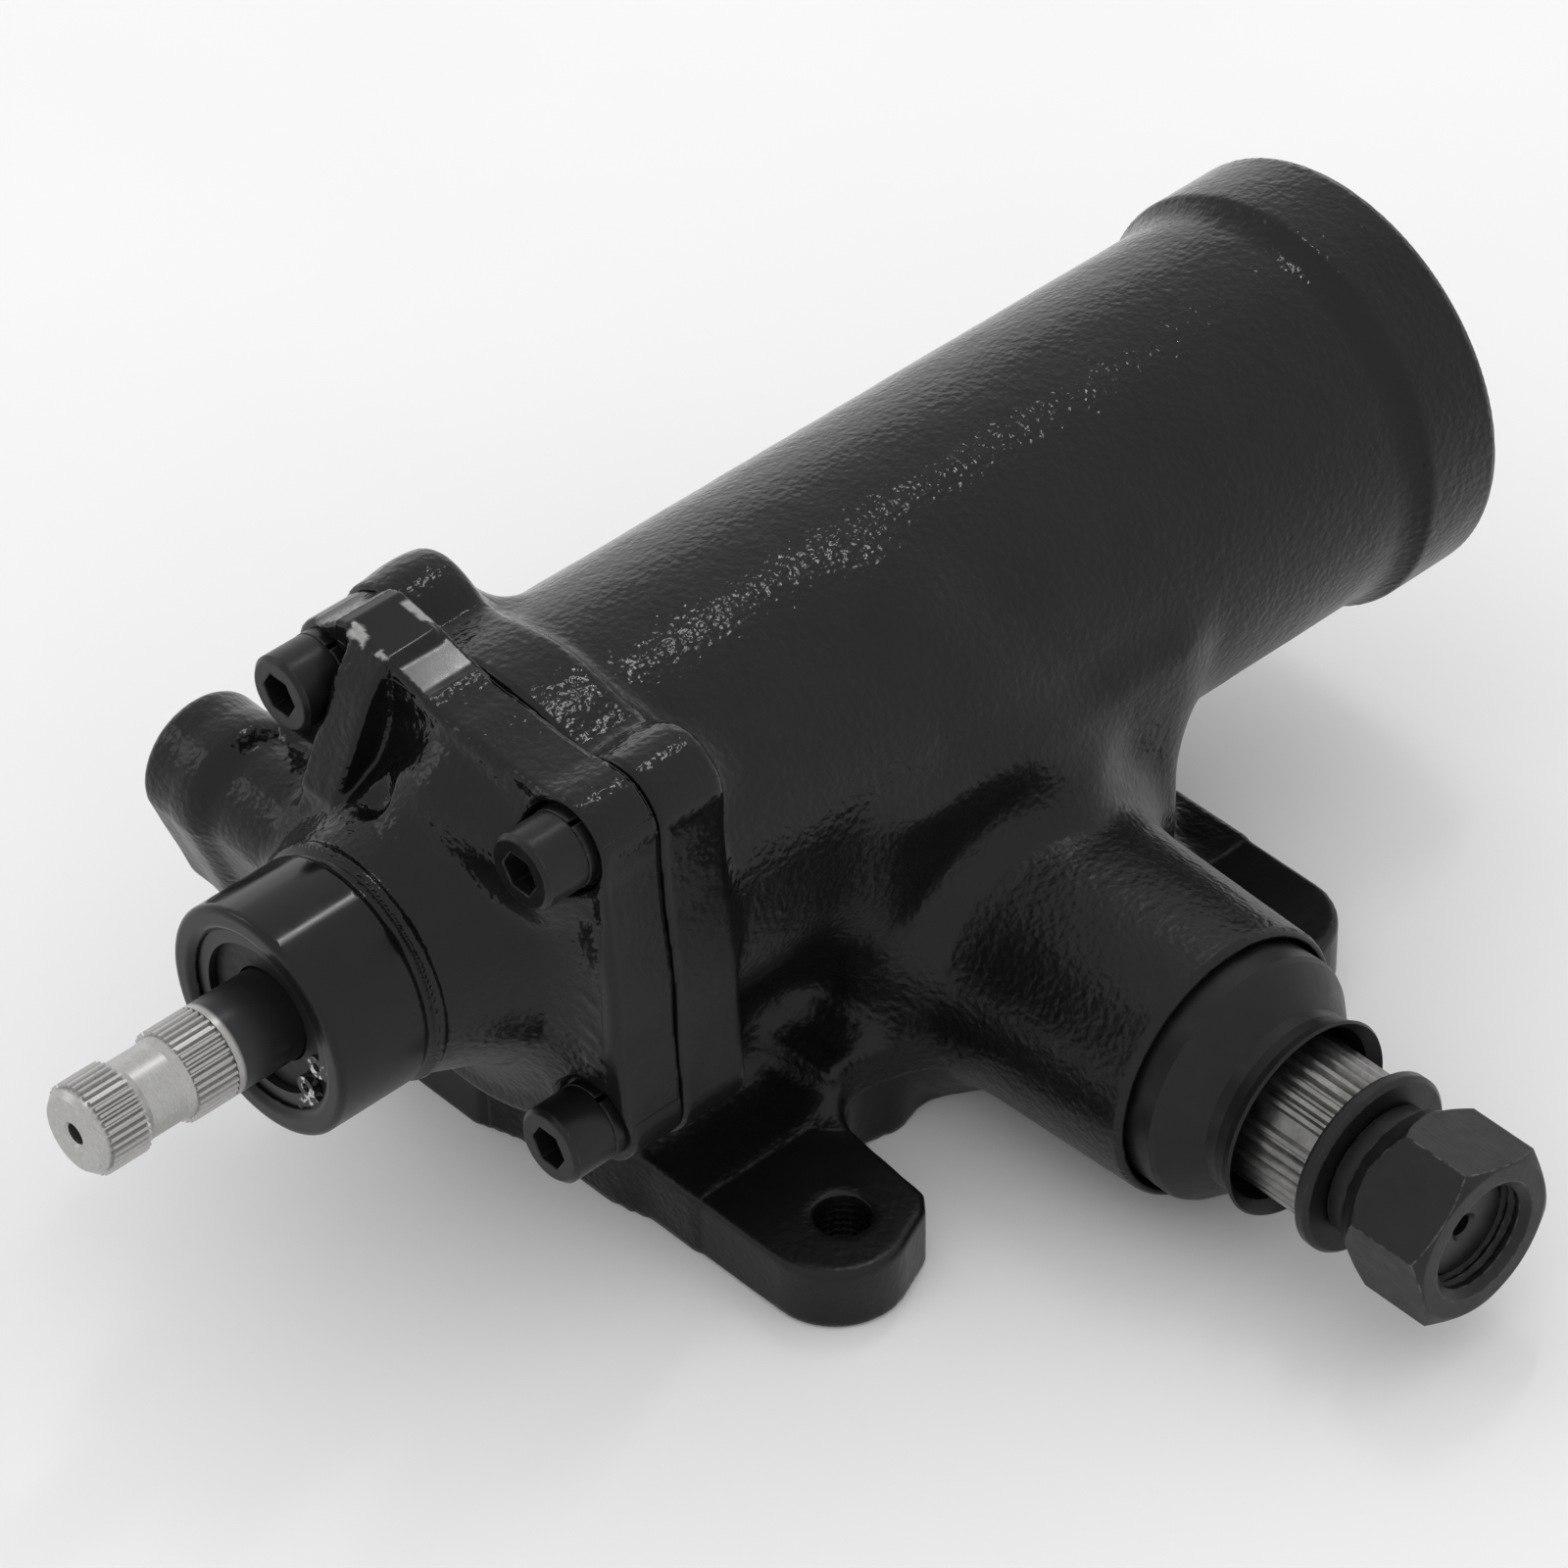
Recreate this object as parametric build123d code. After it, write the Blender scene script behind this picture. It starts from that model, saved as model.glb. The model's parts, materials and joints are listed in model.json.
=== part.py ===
"""Integral worm-and-ball-nut power steering gearbox, millimetres, +Z up.

Frame: origin on the mounting-pad plane, straight under the crossing of the
worm axis and the sector-shaft axis. +Y runs along the worm axis towards the
closed rear end (the input shaft points to -Y). +X runs along the sector shaft
towards its splined output end.
"""
import math
import os

from build123d import *

os.makedirs("parts", exist_ok=True)

# ------------------------------------------------------------------ driving dimensions
ZW = 76.0            # worm axis above the mounting pads
CD = 46.0            # centre distance worm axis - sector axis
ZS = ZW - CD         # sector-shaft axis height
BORE_R = 36.0        # cylinder bore
CYL_R = 43.4         # outside of the cylinder
RIM_R = 46.3         # rear rim
Y_RIM0, Y_RIM1 = 110.4, 130.2
Y_JOINT = -95.0      # valve housing / main housing joint
Y_FL_F = -109.0      # front face of the valve-housing flange
Y_FL_B = -79.0       # back face of the main-housing flange
BOLTS = [(-33.7, 37.0), (33.8, 35.5), (38.3, -30.0), (-38.3, -30.0)]   # x, z from the worm axis
LOBE_R = 10.4        # main-housing lobes; the valve-housing lobes are a little smaller
LOBE_RV = 9.7
SPOT = 1.4           # spot-face depth under the screw washers
Y_NOSE = -157.0      # front of the machined nose
NOSE_R, NOSE_BORE = 24.2, 18.6
Y_TIP = -200.3       # end of the input shaft
PAD_T = 15.0         # mounting ear thickness
EARS = [(66.0, -71.0, 15.0), (57.0, 43.0, 15.5), (-60.0, -86.0, 15.0), (-60.5, 61.0, 15.0)]
EAR_HOLE_R = 5.3     # tap drill of the M12 ear threads
X_BOSS = 99.3        # end of the sector-shaft boss
BOSS_R = 29.3
X_COVER = -46.0      # side-cover seat
MODULE, TEETH_EQ, PA = 6.0, 8, math.radians(30)
R_P = MODULE * TEETH_EQ / 2          # sector pitch radius, 24 mm
ADD = 4.6
RACK_Y0, RACK_Y1 = -54.0, 76.0
PIST_R = 35.6
BALL_R, BALL_C = 3.0, 13.0
LEAD = 9.5


# ------------------------------------------------------------------ helpers
def cyl_y(r, y0, y1, x=0.0, z=0.0):
    return Pos(x, (y0 + y1) / 2, ZW + z) * Rot(90, 0, 0) * Cylinder(r, y1 - y0)


def cyl_x(r, x0, x1, y=0.0, z=0.0):
    return Pos((x0 + x1) / 2, y, ZS + z) * Rot(0, 90, 0) * Cylinder(r, x1 - x0)


def cyl_z(r, z0, z1, x=0.0, y=0.0):
    return Pos(x, y, (z0 + z1) / 2) * Cylinder(r, z1 - z0)


def box(x0, x1, y0, y1, z0, z1):
    return Pos((x0 + x1) / 2, (y0 + y1) / 2, (z0 + z1) / 2) * Box(x1 - x0, y1 - y0, z1 - z0)


def rev_y(pts):
    """Revolve (radius, y) points about the worm axis."""
    f = make_face(Polyline(*[(r, y) for r, y in pts], close=True))
    return Pos(0, 0, ZW) * revolve(f, Axis.Y, 360)


def rev_x(pts):
    """Revolve (x, radius) points about the sector axis."""
    f = make_face(Polyline(*[(x, r) for x, r in pts], close=True))
    return Pos(0, 0, ZS) * revolve(f, Axis.X, 360)


def xz_prism(pts, y0, y1):
    """Extrude an (x, z) outline given about the worm axis from y0 to y1."""
    f = make_face(Polyline(*[(x, z) for x, z in pts], close=True))
    s = extrude(f, amount=(y1 - y0))
    return Pos(0, y1, ZW) * Rot(90, 0, 0) * s


def xy_prism(pts, z0, z1):
    f = make_face(Polyline(*[(x, y) for x, y in pts], close=True))
    return Pos(0, 0, z0) * extrude(f, amount=z1 - z0)


def yz_prism(pts, x0, x1):
    """Extrude a (y, z) outline about the sector axis from x0 to x1."""
    pl = Plane(origin=(x0, 0, ZS), x_dir=(0, 1, 0), z_dir=(1, 0, 0))
    return extrude(pl * make_face(Polyline(*[(y, z) for y, z in pts], close=True)), amount=x1 - x0)


def hull_bar(p, q, r):
    """Outline of a bar of half-width r between points p and q (round ends), as points."""
    (x0, y0), (x1, y1) = p, q
    a = math.atan2(y1 - y0, x1 - x0)
    pts = []
    for c, s in (((x1, y1), a - math.pi / 2), ((x0, y0), a + math.pi / 2)):
        for i in range(13):
            t = s + math.pi * i / 12
            pts.append((c[0] + r * math.cos(t), c[1] + r * math.sin(t)))
    return pts


def one(s):
    """Return the result as a single clean solid."""
    sol = sorted(s.solids(), key=lambda q: -q.volume)
    return sol[0]


PARTS = {}


def save(name, shape):
    PARTS[name] = shape
    export_step(shape, "parts/%s.step" % name)


def group(name, shapes):
    save(name, Compound(children=[s if isinstance(s, Solid) else one(s) for s in shapes]))


# ------------------------------------------------------------------ main housing
def ear_plate(pts):
    """Mounting ear from its plan outline, rounded ends given as points."""
    return xy_prism(pts, 0, PAD_T)


def arc_pts(cx, cy, r, a0, a1, n=12):
    return [(cx + r * math.cos(math.radians(a0 + (a1 - a0) * i / n)), cy + r * math.sin(math.radians(a0 + (a1 - a0) * i / n))) for i in range(n + 1)]


cyl = rev_y([(0, Y_JOINT), (46.0, Y_JOINT), (46.0, Y_FL_B), (CYL_R + 2.5, Y_FL_B + 2.5), (CYL_R, Y_FL_B + 8),
             (CYL_R, Y_RIM0 - 5), (CYL_R + 0.9, Y_RIM0 - 2.4), (RIM_R, Y_RIM0), (RIM_R, Y_RIM1 - 1.2),
             (RIM_R - 1.2, Y_RIM1), (0, Y_RIM1)])
bulge = box(-43.4, 43.4, -41, 47.3, 0, ZW - 1)
bulge = fillet(bulge.edges().filter_by(Axis.Z), 9)
neck = box(-24, 24, -88, -38, 0, ZW - 10)
flange = cyl_y(46.5, Y_JOINT, Y_FL_B)
for i, j in ((0, 3), (1, 2)):
    flange += xz_prism(hull_bar(BOLTS[i], BOLTS[j], LOBE_R), Y_JOINT, Y_FL_B)
for bx, bz in BOLTS[:2]:
    flange += xz_prism(hull_bar((bx, bz), (bx * 0.55, bz * 0.9), LOBE_R - 2.0), Y_JOINT, Y_FL_B)
ear_fr = ear_plate([(0, -88.3)] + arc_pts(66.0, -73.0, 14.9, -88, 28) + [(76.0, -58.5), (72.5, -55.4), (53.0, -53.6), (0, -53)])
ear_rr = ear_plate([(0, 33), (40, 33)] + arc_pts(62.5, 49.0, 14.5, -75, 88) + [(0, 63.5)])
ear_fl = ear_plate([(20, -88.6), (-4, -90.8), (-18, -97.2), (-32, -101.4)] + arc_pts(-60.0, -86.0, 15.0, -91, -256) + [(-20, -56), (20, -56)])
ear_rl = ear_plate([(0, 76), (-40, 76)] + arc_pts(-60.5, 61.0, 15.0, 91, 262) + [(-40, 46), (0, 40)])
ears = ear_fr + ear_rr + ear_fl + ear_rl
ears += box(-43, 43, -88, -53, 0, PAD_T) + box(-43, 43, 40, 63, 0, PAD_T)
fl_f = make_face(Polyline((-36, 34), (-40.5, 31), (-43.5, 25), (-50, 15.6), (-54, 14.0), (-54, 0), (-36, 0), close=True))
web_f = extrude(Plane(origin=(-43.2, 0, 0), x_dir=(0, 1, 0), z_dir=(1, 0, 0)) * fl_f, amount=86.4)
fl_r = make_face(Polyline((40, 34), (45.5, 31), (48.5, 25), (55, 15.6), (59, 14.0), (59, 0), (40, 0), close=True))
web_r = extrude(Plane(origin=(-43.2, 0, 0), x_dir=(0, 1, 0), z_dir=(1, 0, 0)) * fl_r, amount=73.0)
boss = rev_x([(20, 0), (20, 35.7), (44.5, 35.7), (46.5, 35.1), (48.6, 33.8), (51, 32.2), (55, 31.1), (60, 30.6), (X_BOSS - 1.5, BOSS_R),
              (X_BOSS, BOSS_R - 1.5), (X_BOSS, 0)])
pad_l = box(X_COVER, -30, -41, 41, 3.0, ZS + 37)
pad_l = fillet(pad_l.edges().filter_by(Axis.X), 9)
housing = cyl + bulge + neck + flange + ears + web_f + web_r + boss + pad_l
# nothing below the pad plane
housing -= box(-200, 200, -200, 200, -40, 0)

# bores
housing -= cyl_y(BORE_R, Y_JOINT - 1, Y_RIM1 + 1)
housing -= rev_y([(0, 98), (38.0, 98), (38.0, 124.5), (39.6, 124.5), (39.6, 128.0), (38.2, 128.0), (38.8, Y_RIM1 + 0.1), (0, Y_RIM1 + 0.1)])
# sector chamber: upper part clears the teeth, lower part clears the hub
chamber = cyl_x(30.5, -34, 24) & box(-40, 40, -40, 40, ZS - 4, ZW)
chamber += cyl_x(22.0, -34, 24)
housing -= chamber
housing -= cyl_x(26.6, X_COVER - 1, -30, z=6.0)
# output boss bore: bearing, seal pocket, ring groove, dust-seal pocket
housing -= rev_x([(20, 0), (20, 19.0), (26, 19.0), (26, 21.5), (58, 21.5), (58, 19.5), (62, 19.5), (62, 24.0),
                  (78, 24.0), (78, 25.4), (80.2, 25.4), (80.2, 24.0), (84, 24.0), (84, 27.6), (X_BOSS + 1, 27.6), (X_BOSS + 1, 0)])
# flange screw holes
for bx, bz in BOLTS:
    housing -= cyl_y(4.25, Y_JOINT - 1, Y_JOINT + 14.4, bx, bz)
    housing -= cyl_y(5.0, Y_JOINT - 1, Y_JOINT + 13.0, bx, bz)
# side-cover screw holes
COVER_BOLTS = [(31.2, 24.0), (-31.2, 24.0), (-31.2, -12.0), (31.2, -12.0)]    # y, z from the sector axis
for by, bz in COVER_BOLTS:
    housing -= cyl_x(5.0, X_COVER - 1, X_COVER + 12.0, by, bz)
# mounting threads
for ex, ey, r in EARS:
    housing -= cyl_z(EAR_HOLE_R, -1, PAD_T + 1, ex, ey)
    for i in range(8):
        z0 = 1.0 + 1.75 * i
        t = make_face(Polyline((0, z0), (5.0, z0), (6.0, z0 + 0.75), (6.0, z0 + 1.0), (5.0, z0 + 1.75), (0, z0 + 1.75), close=True))
        ring = Pos(ex, ey, 0) * Rot(0, 0, 0) * revolve(Plane.XZ * t, Axis.Z, 360)
        if z0 + 1.75 <= PAD_T:
            housing -= ring
# bleed passage boss left plain: oil gallery from the valve joint to the rear chamber, cast inside the wall
save("main_housing", one(housing))

# ------------------------------------------------------------------ valve housing
vh = rev_y([(0, Y_NOSE), (NOSE_R - 0.9, Y_NOSE), (NOSE_R, Y_NOSE + 0.9), (NOSE_R, -135.6), (NOSE_R - 0.6, -135.2), (NOSE_R - 0.6, -134.0),
            (NOSE_R + 1.1, -133.2), (26.6, -126), (29.4, -118.5), (33.5, -112), (37.5, Y_FL_F), (46.0, Y_FL_F), (46.0, Y_JOINT), (35.9, Y_JOINT), (35.9, -75.0),
            (34.9, -74.0), (0, -74.0)])
for i, j in ((0, 3), (1, 2)):
    vh += xz_prism(hull_bar(BOLTS[i], BOLTS[j], LOBE_RV), Y_FL_F, Y_JOINT)
# flat pad between the first lobe and the crown, with the rib that carries it down to the body
vh += xz_prism([(-37, 45.6), (-29.5, 51.4), (-26.5, 52.2), (-16.5, 50.4), (-6, 47.6), (2, 45), (0, 30), (-30, 32)], Y_FL_F, Y_JOINT)
rib = make_face(Polyline((Y_JOINT - 2, 50.6), (Y_FL_F - 0.8, 50.2), (-114.5, 43.0), (-123.6, 23.5), (-123.6, 12), (Y_JOINT - 2, 12), close=True))
vh += extrude(Plane(origin=(-23.5, 0, ZW), x_dir=(0, 1, 0), z_dir=(1, 0, 0)) * rib, amount=9.5)
# fillet body between the crown and the second lobe
vh += xz_prism(hull_bar((BOLTS[1][0] * 0.2, 35.5), (BOLTS[1][0], BOLTS[1][1]), 9.2), Y_FL_F, Y_JOINT)
# port boss on the far side
P1, P2 = (-119.0, 5.0), (-114.5, -16.0)          # y, z of the two ports
X_PORT = -62.6
def port_hull(x0, x1, g):
    f = make_face(Polyline(*([(P1[0] + (13.9 + g) * math.cos(math.radians(a)), P1[1] + (13.9 + g) * math.sin(math.radians(a))) for a in range(-8, 200, 8)]
                             + [(P2[0] + (10.4 + g) * math.cos(math.radians(a)), P2[1] + (10.4 + g) * math.sin(math.radians(a))) for a in range(196, 350, 8)]), close=True))
    return extrude(Plane(origin=(x0, 0, ZW), x_dir=(0, 1, 0), z_dir=(1, 0, 0)) * f, amount=x1 - x0)


vh += port_hull(-61.6, -49, 0) + port_hull(X_PORT, -61.5, -1.2) + port_hull(-49.1, -45, -1.2) + port_hull(-45.1, -10, -2.2)
# underside webs
vh += Pos(0, 0, ZW) * box(-4, 4, -126, Y_FL_F + 1, -30, 0)
# bores: seal bore, bearing, valve sleeve bore, worm bearing bore
vh -= rev_y([(0, Y_NOSE - 1), (NOSE_BORE + 1.2, Y_NOSE - 1), (NOSE_BORE + 1.2, Y_NOSE), (NOSE_BORE, Y_NOSE + 1.2), (NOSE_BORE, -155.3),
             (19.8, -155.3), (19.8, -153.5), (NOSE_BORE, -153.5), (NOSE_BORE, -140.5), (14.0, -140.5), (14.0, -128.5), (19.2, -128.5),
             (19.2, -93.0), (27.0, -93.0), (27.0, -73.0), (0, -73.0)])
for bx, bz in BOLTS:
    vh -= cyl_y(5.5, Y_FL_F - 1, Y_JOINT + 1, bx, bz)
    vh -= cyl_y(10.0, Y_FL_F - 30, Y_FL_F + SPOT, bx, bz)
PORTS = [(P1[0], P1[1], 9.0, 10.0, 6.0), (P2[0], P2[1], 7.0, 10.0, 5.2)]      # y, z, thread minor radius, thread depth, seat radius
for py, pz, pr, pd, ps in PORTS:
    vh -= Pos(X_PORT + pd / 2 - 0.5, py, ZW + pz) * Rot(0, 90, 0) * Cylinder(pr, pd + 1)
    vh -= Pos(X_PORT + 0.2, py, ZW + pz) * Rot(0, 90, 0) * Cylinder(pr + 1.8, 1.2)
    vh -= Pos(X_PORT + pd + 2.5, py, ZW + pz) * Rot(0, 90, 0) * Cylinder(ps, 5.2)
    vh -= cyl_x(2.3, -57.5, -8.0, py, ZW - ZS + pz)      # straight drilling into the valve bore
# oil groove for the spigot seal
vh -= rev_y([(33.4, -91.6), (37, -91.6), (37, -88.0), (33.4, -88.0)])
save("valve_housing", one(vh))
save("valve_housing_seal", rev_y([(33.45, -91.2), (35.95, -91.2), (35.95, -88.4), (33.45, -88.4)]))


def cap_screw_y(x, z, y_seat, length, r=5.0, head_r=8.0, head_h=10.0, sock=4.0):
    s = cyl_y(head_r, y_seat - head_h, y_seat, x, z)
    s = chamfer(s.edges().group_by(Axis.Y)[0], 0.9)
    s += cyl_y(r - 0.05, y_seat - 0.5, y_seat + length, x, z)
    hexa = extrude(RegularPolygon(sock / math.cos(math.pi / 6), 6), amount=5.2)
    s -= Pos(x, y_seat - head_h + 5.1, ZW + z) * Rot(90, 0, 0) * hexa
    return s


SEAT = Y_FL_F + SPOT
screws, washers = [], []
for bx, bz in BOLTS:
    screws.append(cap_screw_y(bx, bz, SEAT - 2.6, 2.6 + 10.0 + 13.0))
    w = cyl_y(8.1, SEAT - 2.6, SEAT, bx, bz) - cyl_y(5.2, SEAT - 3, SEAT + 1, bx, bz)
    w -= Pos(bx, 0, ZW + bz) * Rot(0, 20, 0) * Pos(0, SEAT - 1.3, 7) * Box(1.2, 4, 6)
    washers.append(w)
group("valve_housing_screws", screws)
group("valve_housing_lock_washers", washers)

seats = []
for py, pz, pr, pd, ps in PORTS:
    x0 = X_PORT + pd
    s = Pos(x0 + 2.7, py, ZW + pz) * Rot(0, 90, 0) * (Cylinder(ps - 0.03, 4.6) - Cylinder(2.4, 6))
    seats.append(s)
group("port_seats", seats)

# ------------------------------------------------------------------ nose seals and bearing
save("input_dust_seal", rev_y([(9.9, -153.2), (17.9, -153.4), (18.55, -152.9), (18.55, -149.7), (12.5, -149.7), (12.5, -150.7), (11.2, -151.0), (9.9, -152.4)]))
ring = rev_y([(15.8, -155.2), (19.7, -155.2), (19.7, -153.6), (15.8, -153.6)])
ring -= Pos(0, -154.4, ZW) * Rot(0, 116, 0) * Pos(0, 0, 18) * Box(7, 4, 8)
for sgn in (-1, 1):
    lug = Pos(0, 0, ZW) * Rot(0, 116 + sgn * 16, 0) * Pos(0, -154.4, 15.0) * Rot(90, 0, 0) * (Cylinder(2.4, 1.6) - Cylinder(1.0, 3))
    ring = ring - (Pos(0, 0, ZW) * Rot(0, 116 + sgn * 16, 0) * Pos(0, -154.4, 15.0) * Rot(90, 0, 0) * Cylinder(1.0, 3)) + lug
save("input_retaining_ring", one(ring))
save("input_oil_seal", rev_y([(9.62, -147.0), (10.4, -148.6), (13.5, -148.6), (13.5, -149.2), (18.55, -149.2), (18.55, -141.4), (13.6, -141.4), (13.6, -142.4),
                              (17.3, -142.4), (17.3, -147.4), (10.6, -147.4), (10.6, -145.6), (9.62, -146.4)]))
save("input_needle_bearing", rev_y([(9.6, -140.2), (13.95, -140.2), (13.95, -129.2), (9.6, -129.2)]))

# ------------------------------------------------------------------ input stub shaft (with the valve spool)
sprof = []
N1 = 36


def spline_prism(n, r0, r1, y0, y1, gap=()):
    pts = []
    for i in range(n):
        a = 2 * math.pi * i / n
        d = 2 * math.pi / n
        hi = r1 if i not in gap else r0
        for f, r in ((-0.42, r0), (-0.16, hi), (0.16, hi), (0.42, r0)):
            pts.append((r * math.sin(a + f * d), r * math.cos(a + f * d)))
    return pts


stub = rev_y([(0, Y_TIP), (7.7, Y_TIP), (8.75, Y_TIP + 1.2), (8.75, -190.2), (8.2, -188.0), (8.2, -180.0), (8.75, -178.0), (8.75, -169.0),
              (9.5, -168.8), (9.5, -128.0), (11.9, -127.0), (11.9, -92.0), (10.2, -92.0), (10.2, -86.0), (0, -86.0)])
for a, b in ((-198.3, -189.6), (-178.2, -169.0)):
    stub += xz_prism(spline_prism(N1, 8.65, 9.53, a, b), a, b)
stub -= cyl_y(5.2, -160.0, -85.0)
stub -= cyl_y(2.2, Y_TIP - 1, -158.0)
stub -= rev_y([(0, Y_TIP - 1), (3.7, Y_TIP - 1), (2.7, Y_TIP), (2.2, Y_TIP + 0.5), (0, Y_TIP + 0.5)])
for i in range(6):
    a = math.radians(60 * i)
    stub -= Pos(11.9 * math.sin(a), -109.5, ZW + 11.9 * math.cos(a)) * Rot(0, math.degrees(a), 0) * Box(4.4, 24, 3.4)
stub -= Pos(0, -172.0 + 24, ZW) * Cylinder(2.0, 40)
save("stub_shaft", one(stub))
save("stub_pin", Pos(0, -148.0, ZW) * Cylinder(1.95, 18.4))
tb = rev_y([(0, -157.5), (5.1, -157.5), (5.1, -143.0), (3.2, -139.0), (3.2, -72.0), (5.1, -69.0), (5.1, -62.0), (0, -62.0)])
tb -= Pos(0, -148.0, ZW) * Cylinder(2.0, 40)
save("torsion_bar", one(tb))

# ------------------------------------------------------------------ valve sleeve (turns with the worm)
sl = rev_y([(12.05, -127.0), (18.6, -127.0), (19.05, -126.5), (19.05, -124.0), (17.6, -124.0), (17.6, -118.6), (19.05, -118.6), (19.05, -115.4), (17.6, -115.4),
            (17.6, -110.0), (19.05, -110.0), (19.05, -106.8), (17.6, -106.8), (17.6, -101.4), (19.05, -101.4), (19.05, -91.4), (12.05, -91.4)])
for y0 in (-121.3, -112.7, -104.1):
    for k in range(6):
        sl -= Pos(0, y0, ZW) * Rot(0, 60 * k + 15, 0) * Pos(0, 0, 15) * Cylinder(1.3, 9)
RING_Y = [-125.3, -117.0, -108.4, -99.0]
for y0 in RING_Y:
    sl -= rev_y([(18.0, y0 - 0.9), (20, y0 - 0.9), (20, y0 + 0.9), (18.0, y0 + 0.9)])
save("valve_sleeve", one(sl))
group("sleeve_seal_rings", [rev_y([(18.1, y0 - 0.8), (19.14, y0 - 0.8), (19.14, y0 + 0.8), (18.1, y0 + 0.8)]) for y0 in RING_Y])

# ------------------------------------------------------------------ worm shaft
W_R = 12.3
worm = rev_y([(0, -91.2), (18.4, -91.2), (18.4, -87.2), (22.5, -87.2), (22.5, -82.4), (14.5, -82.4), (14.5, -77.5), (W_R, -75.0), (W_R, 39.0),
              (W_R - 1.5, 40.5), (0, 40.5)])
worm -= cyl_y(12.05, -92.0, -88.0)
worm -= cyl_y(10.4, -92.0, -85.6)
worm -= cyl_y(5.2, -92.0, -60.0)
h0, h1 = -70.0, 36.0


def groove(y0, y1, rr, phase_y):
    hx = Helix(pitch=LEAD, height=y1 - y0, radius=BALL_C)
    prof = Plane(origin=hx @ 0, z_dir=hx % 0) * Circle(rr)
    t = sweep(make_face(prof.edges()) if not isinstance(prof, Face) else prof, path=hx, is_frenet=True)
    return t


def place_helix(s, y0):
    # Helix axis +Z -> +Y, started so that the angle follows y
    ang = 360.0 * (y0 - h0) / LEAD
    return Pos(0, y0, ZW) * Rot(-90, 0, 0) * Rot(0, 0, ang) * s


wg = place_helix(groove(h0, h1, 3.25, 0), h0)
worm -= wg
save("worm_shaft", one(worm))
group("worm_thrust_bearings", [rev_y([(19.4, -92.6), (26.0, -92.6), (26.0, -87.4), (19.4, -87.4)]),
                               rev_y([(15.0, -82.2), (26.0, -82.2), (26.0, -77.6), (15.0, -77.6)])])
save("worm_bearing_nut", rev_y([(15.5, -77.4), (26.8, -77.4), (26.8, -73.4), (15.5, -73.4)]))

# ------------------------------------------------------------------ rack-piston (ball nut)
p = math.pi * MODULE
z_pitch = -(CD - R_P)                       # rack pitch line below the worm axis
z_tip = z_pitch - ADD                       # rack tooth tips
z_root = z_pitch + ADD + 0.7                # rack space bottoms
rp = rev_y([(0, RACK_Y0), (PIST_R - 1.5, RACK_Y0), (PIST_R, RACK_Y0 + 1.5), (PIST_R, RACK_Y1 - 1.5), (PIST_R - 1.5, RACK_Y1), (0, RACK_Y1)])
rp -= Pos(0, 0, ZW) * box(-40, 40, -44, 44, -45, z_tip)
for k in (-1, 0, 1):
    yc = k * p
    hw = p / 4 + 0.18
    tn = math.tan(PA)
    dz0, dz1 = z_tip - z_pitch - 1.0, z_root - z_pitch
    q = [(yc - hw + dz0 * tn, z_pitch + dz0), (yc + hw - dz0 * tn, z_pitch + dz0), (yc + hw - dz1 * tn, z_root), (yc - hw + dz1 * tn, z_root)]
    pl = Plane(origin=(-40, 0, ZW), x_dir=(0, 1, 0), z_dir=(1, 0, 0))
    rp -= extrude(pl * make_face(Polyline(*q, close=True)), amount=80)
rp -= cyl_y(13.7, RACK_Y0 - 1, 60.0)
rp -= cyl_y(16.0, 60.0, RACK_Y1 + 1)
# ball groove inside the nut
n0, n1 = -37.5, -9.0
rp -= place_helix(groove(n0, n1, 3.35, 0), n0)
# pocket on top for the return guide
rp -= Pos(0, 0, ZW) * box(-15, 15, -50, 4, 23, 40)
GUIDE_Y = (-37.0, -9.5)
for gy in GUIDE_Y:
    rp -= cyl_z(4.5, ZW + 10, ZW + 24, 0, gy)
for gy in (-46.0, 0.0):
    rp -= cyl_z(2.1, ZW + 14.5, ZW + 24, 0, gy)
rp -= rev_y([(33.4, 62.0), (37, 62.0), (37, 65.4), (33.4, 65.4)])
save("rack_piston", one(rp))
save("piston_ring", rev_y([(33.5, 62.2), (35.92, 62.2), (35.92, 65.2), (33.5, 65.2)]))
plug = cyl_y(15.95, 62.0, 73.5)
plug -= Pos(0, 73.5, ZW) * Rot(90, 0, 0) * extrude(RegularPolygon(7.0 / math.cos(math.pi / 6), 6), amount=5)
save("piston_end_plug", one(plug))

balls = []
nb = int((n1 - n0 - 2.0) / LEAD * 2 * math.pi * BALL_C / (2 * BALL_R + 0.45))
for i in range(nb):
    y = n0 + 1.0 + (n1 - n0 - 2.0) * i / (nb - 1)
    ang = 2 * math.pi * (y - h0) / LEAD
    # same phase as the groove: helix starts on its local +X and turns about +Z
    lx, ly = BALL_C * math.cos(ang), BALL_C * math.sin(ang)
    s = Pos(0, y, ZW) * Rot(-90, 0, 0) * Pos(lx, ly, 0) * Sphere(BALL_R)
    balls.append(s)
group("recirculating_balls", balls)

gl = Polyline((0, GUIDE_Y[0], ZW + 17.0), (0, GUIDE_Y[0], ZW + 28.2), (0, GUIDE_Y[1], ZW + 28.2), (0, GUIDE_Y[1], ZW + 17.0))
gl = FilletPolyline((0, GUIDE_Y[0], ZW + 17.0), (0, GUIDE_Y[0], ZW + 28.2), (0, GUIDE_Y[1], ZW + 28.2), (0, GUIDE_Y[1], ZW + 17.0), radius=6.0)
outer = sweep(Plane(origin=(0, GUIDE_Y[0], ZW + 17.0), z_dir=(0, 0, 1)) * Circle(4.3), path=gl)
inner = sweep(Plane(origin=(0, GUIDE_Y[0], ZW + 17.0), z_dir=(0, 0, 1)) * Circle(3.4), path=gl)
save("ball_return_guide", one(outer - inner))
clampb = Pos(0, 0, ZW) * (box(-7, 7, -49, 3, 23.0, 25.0))
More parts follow.
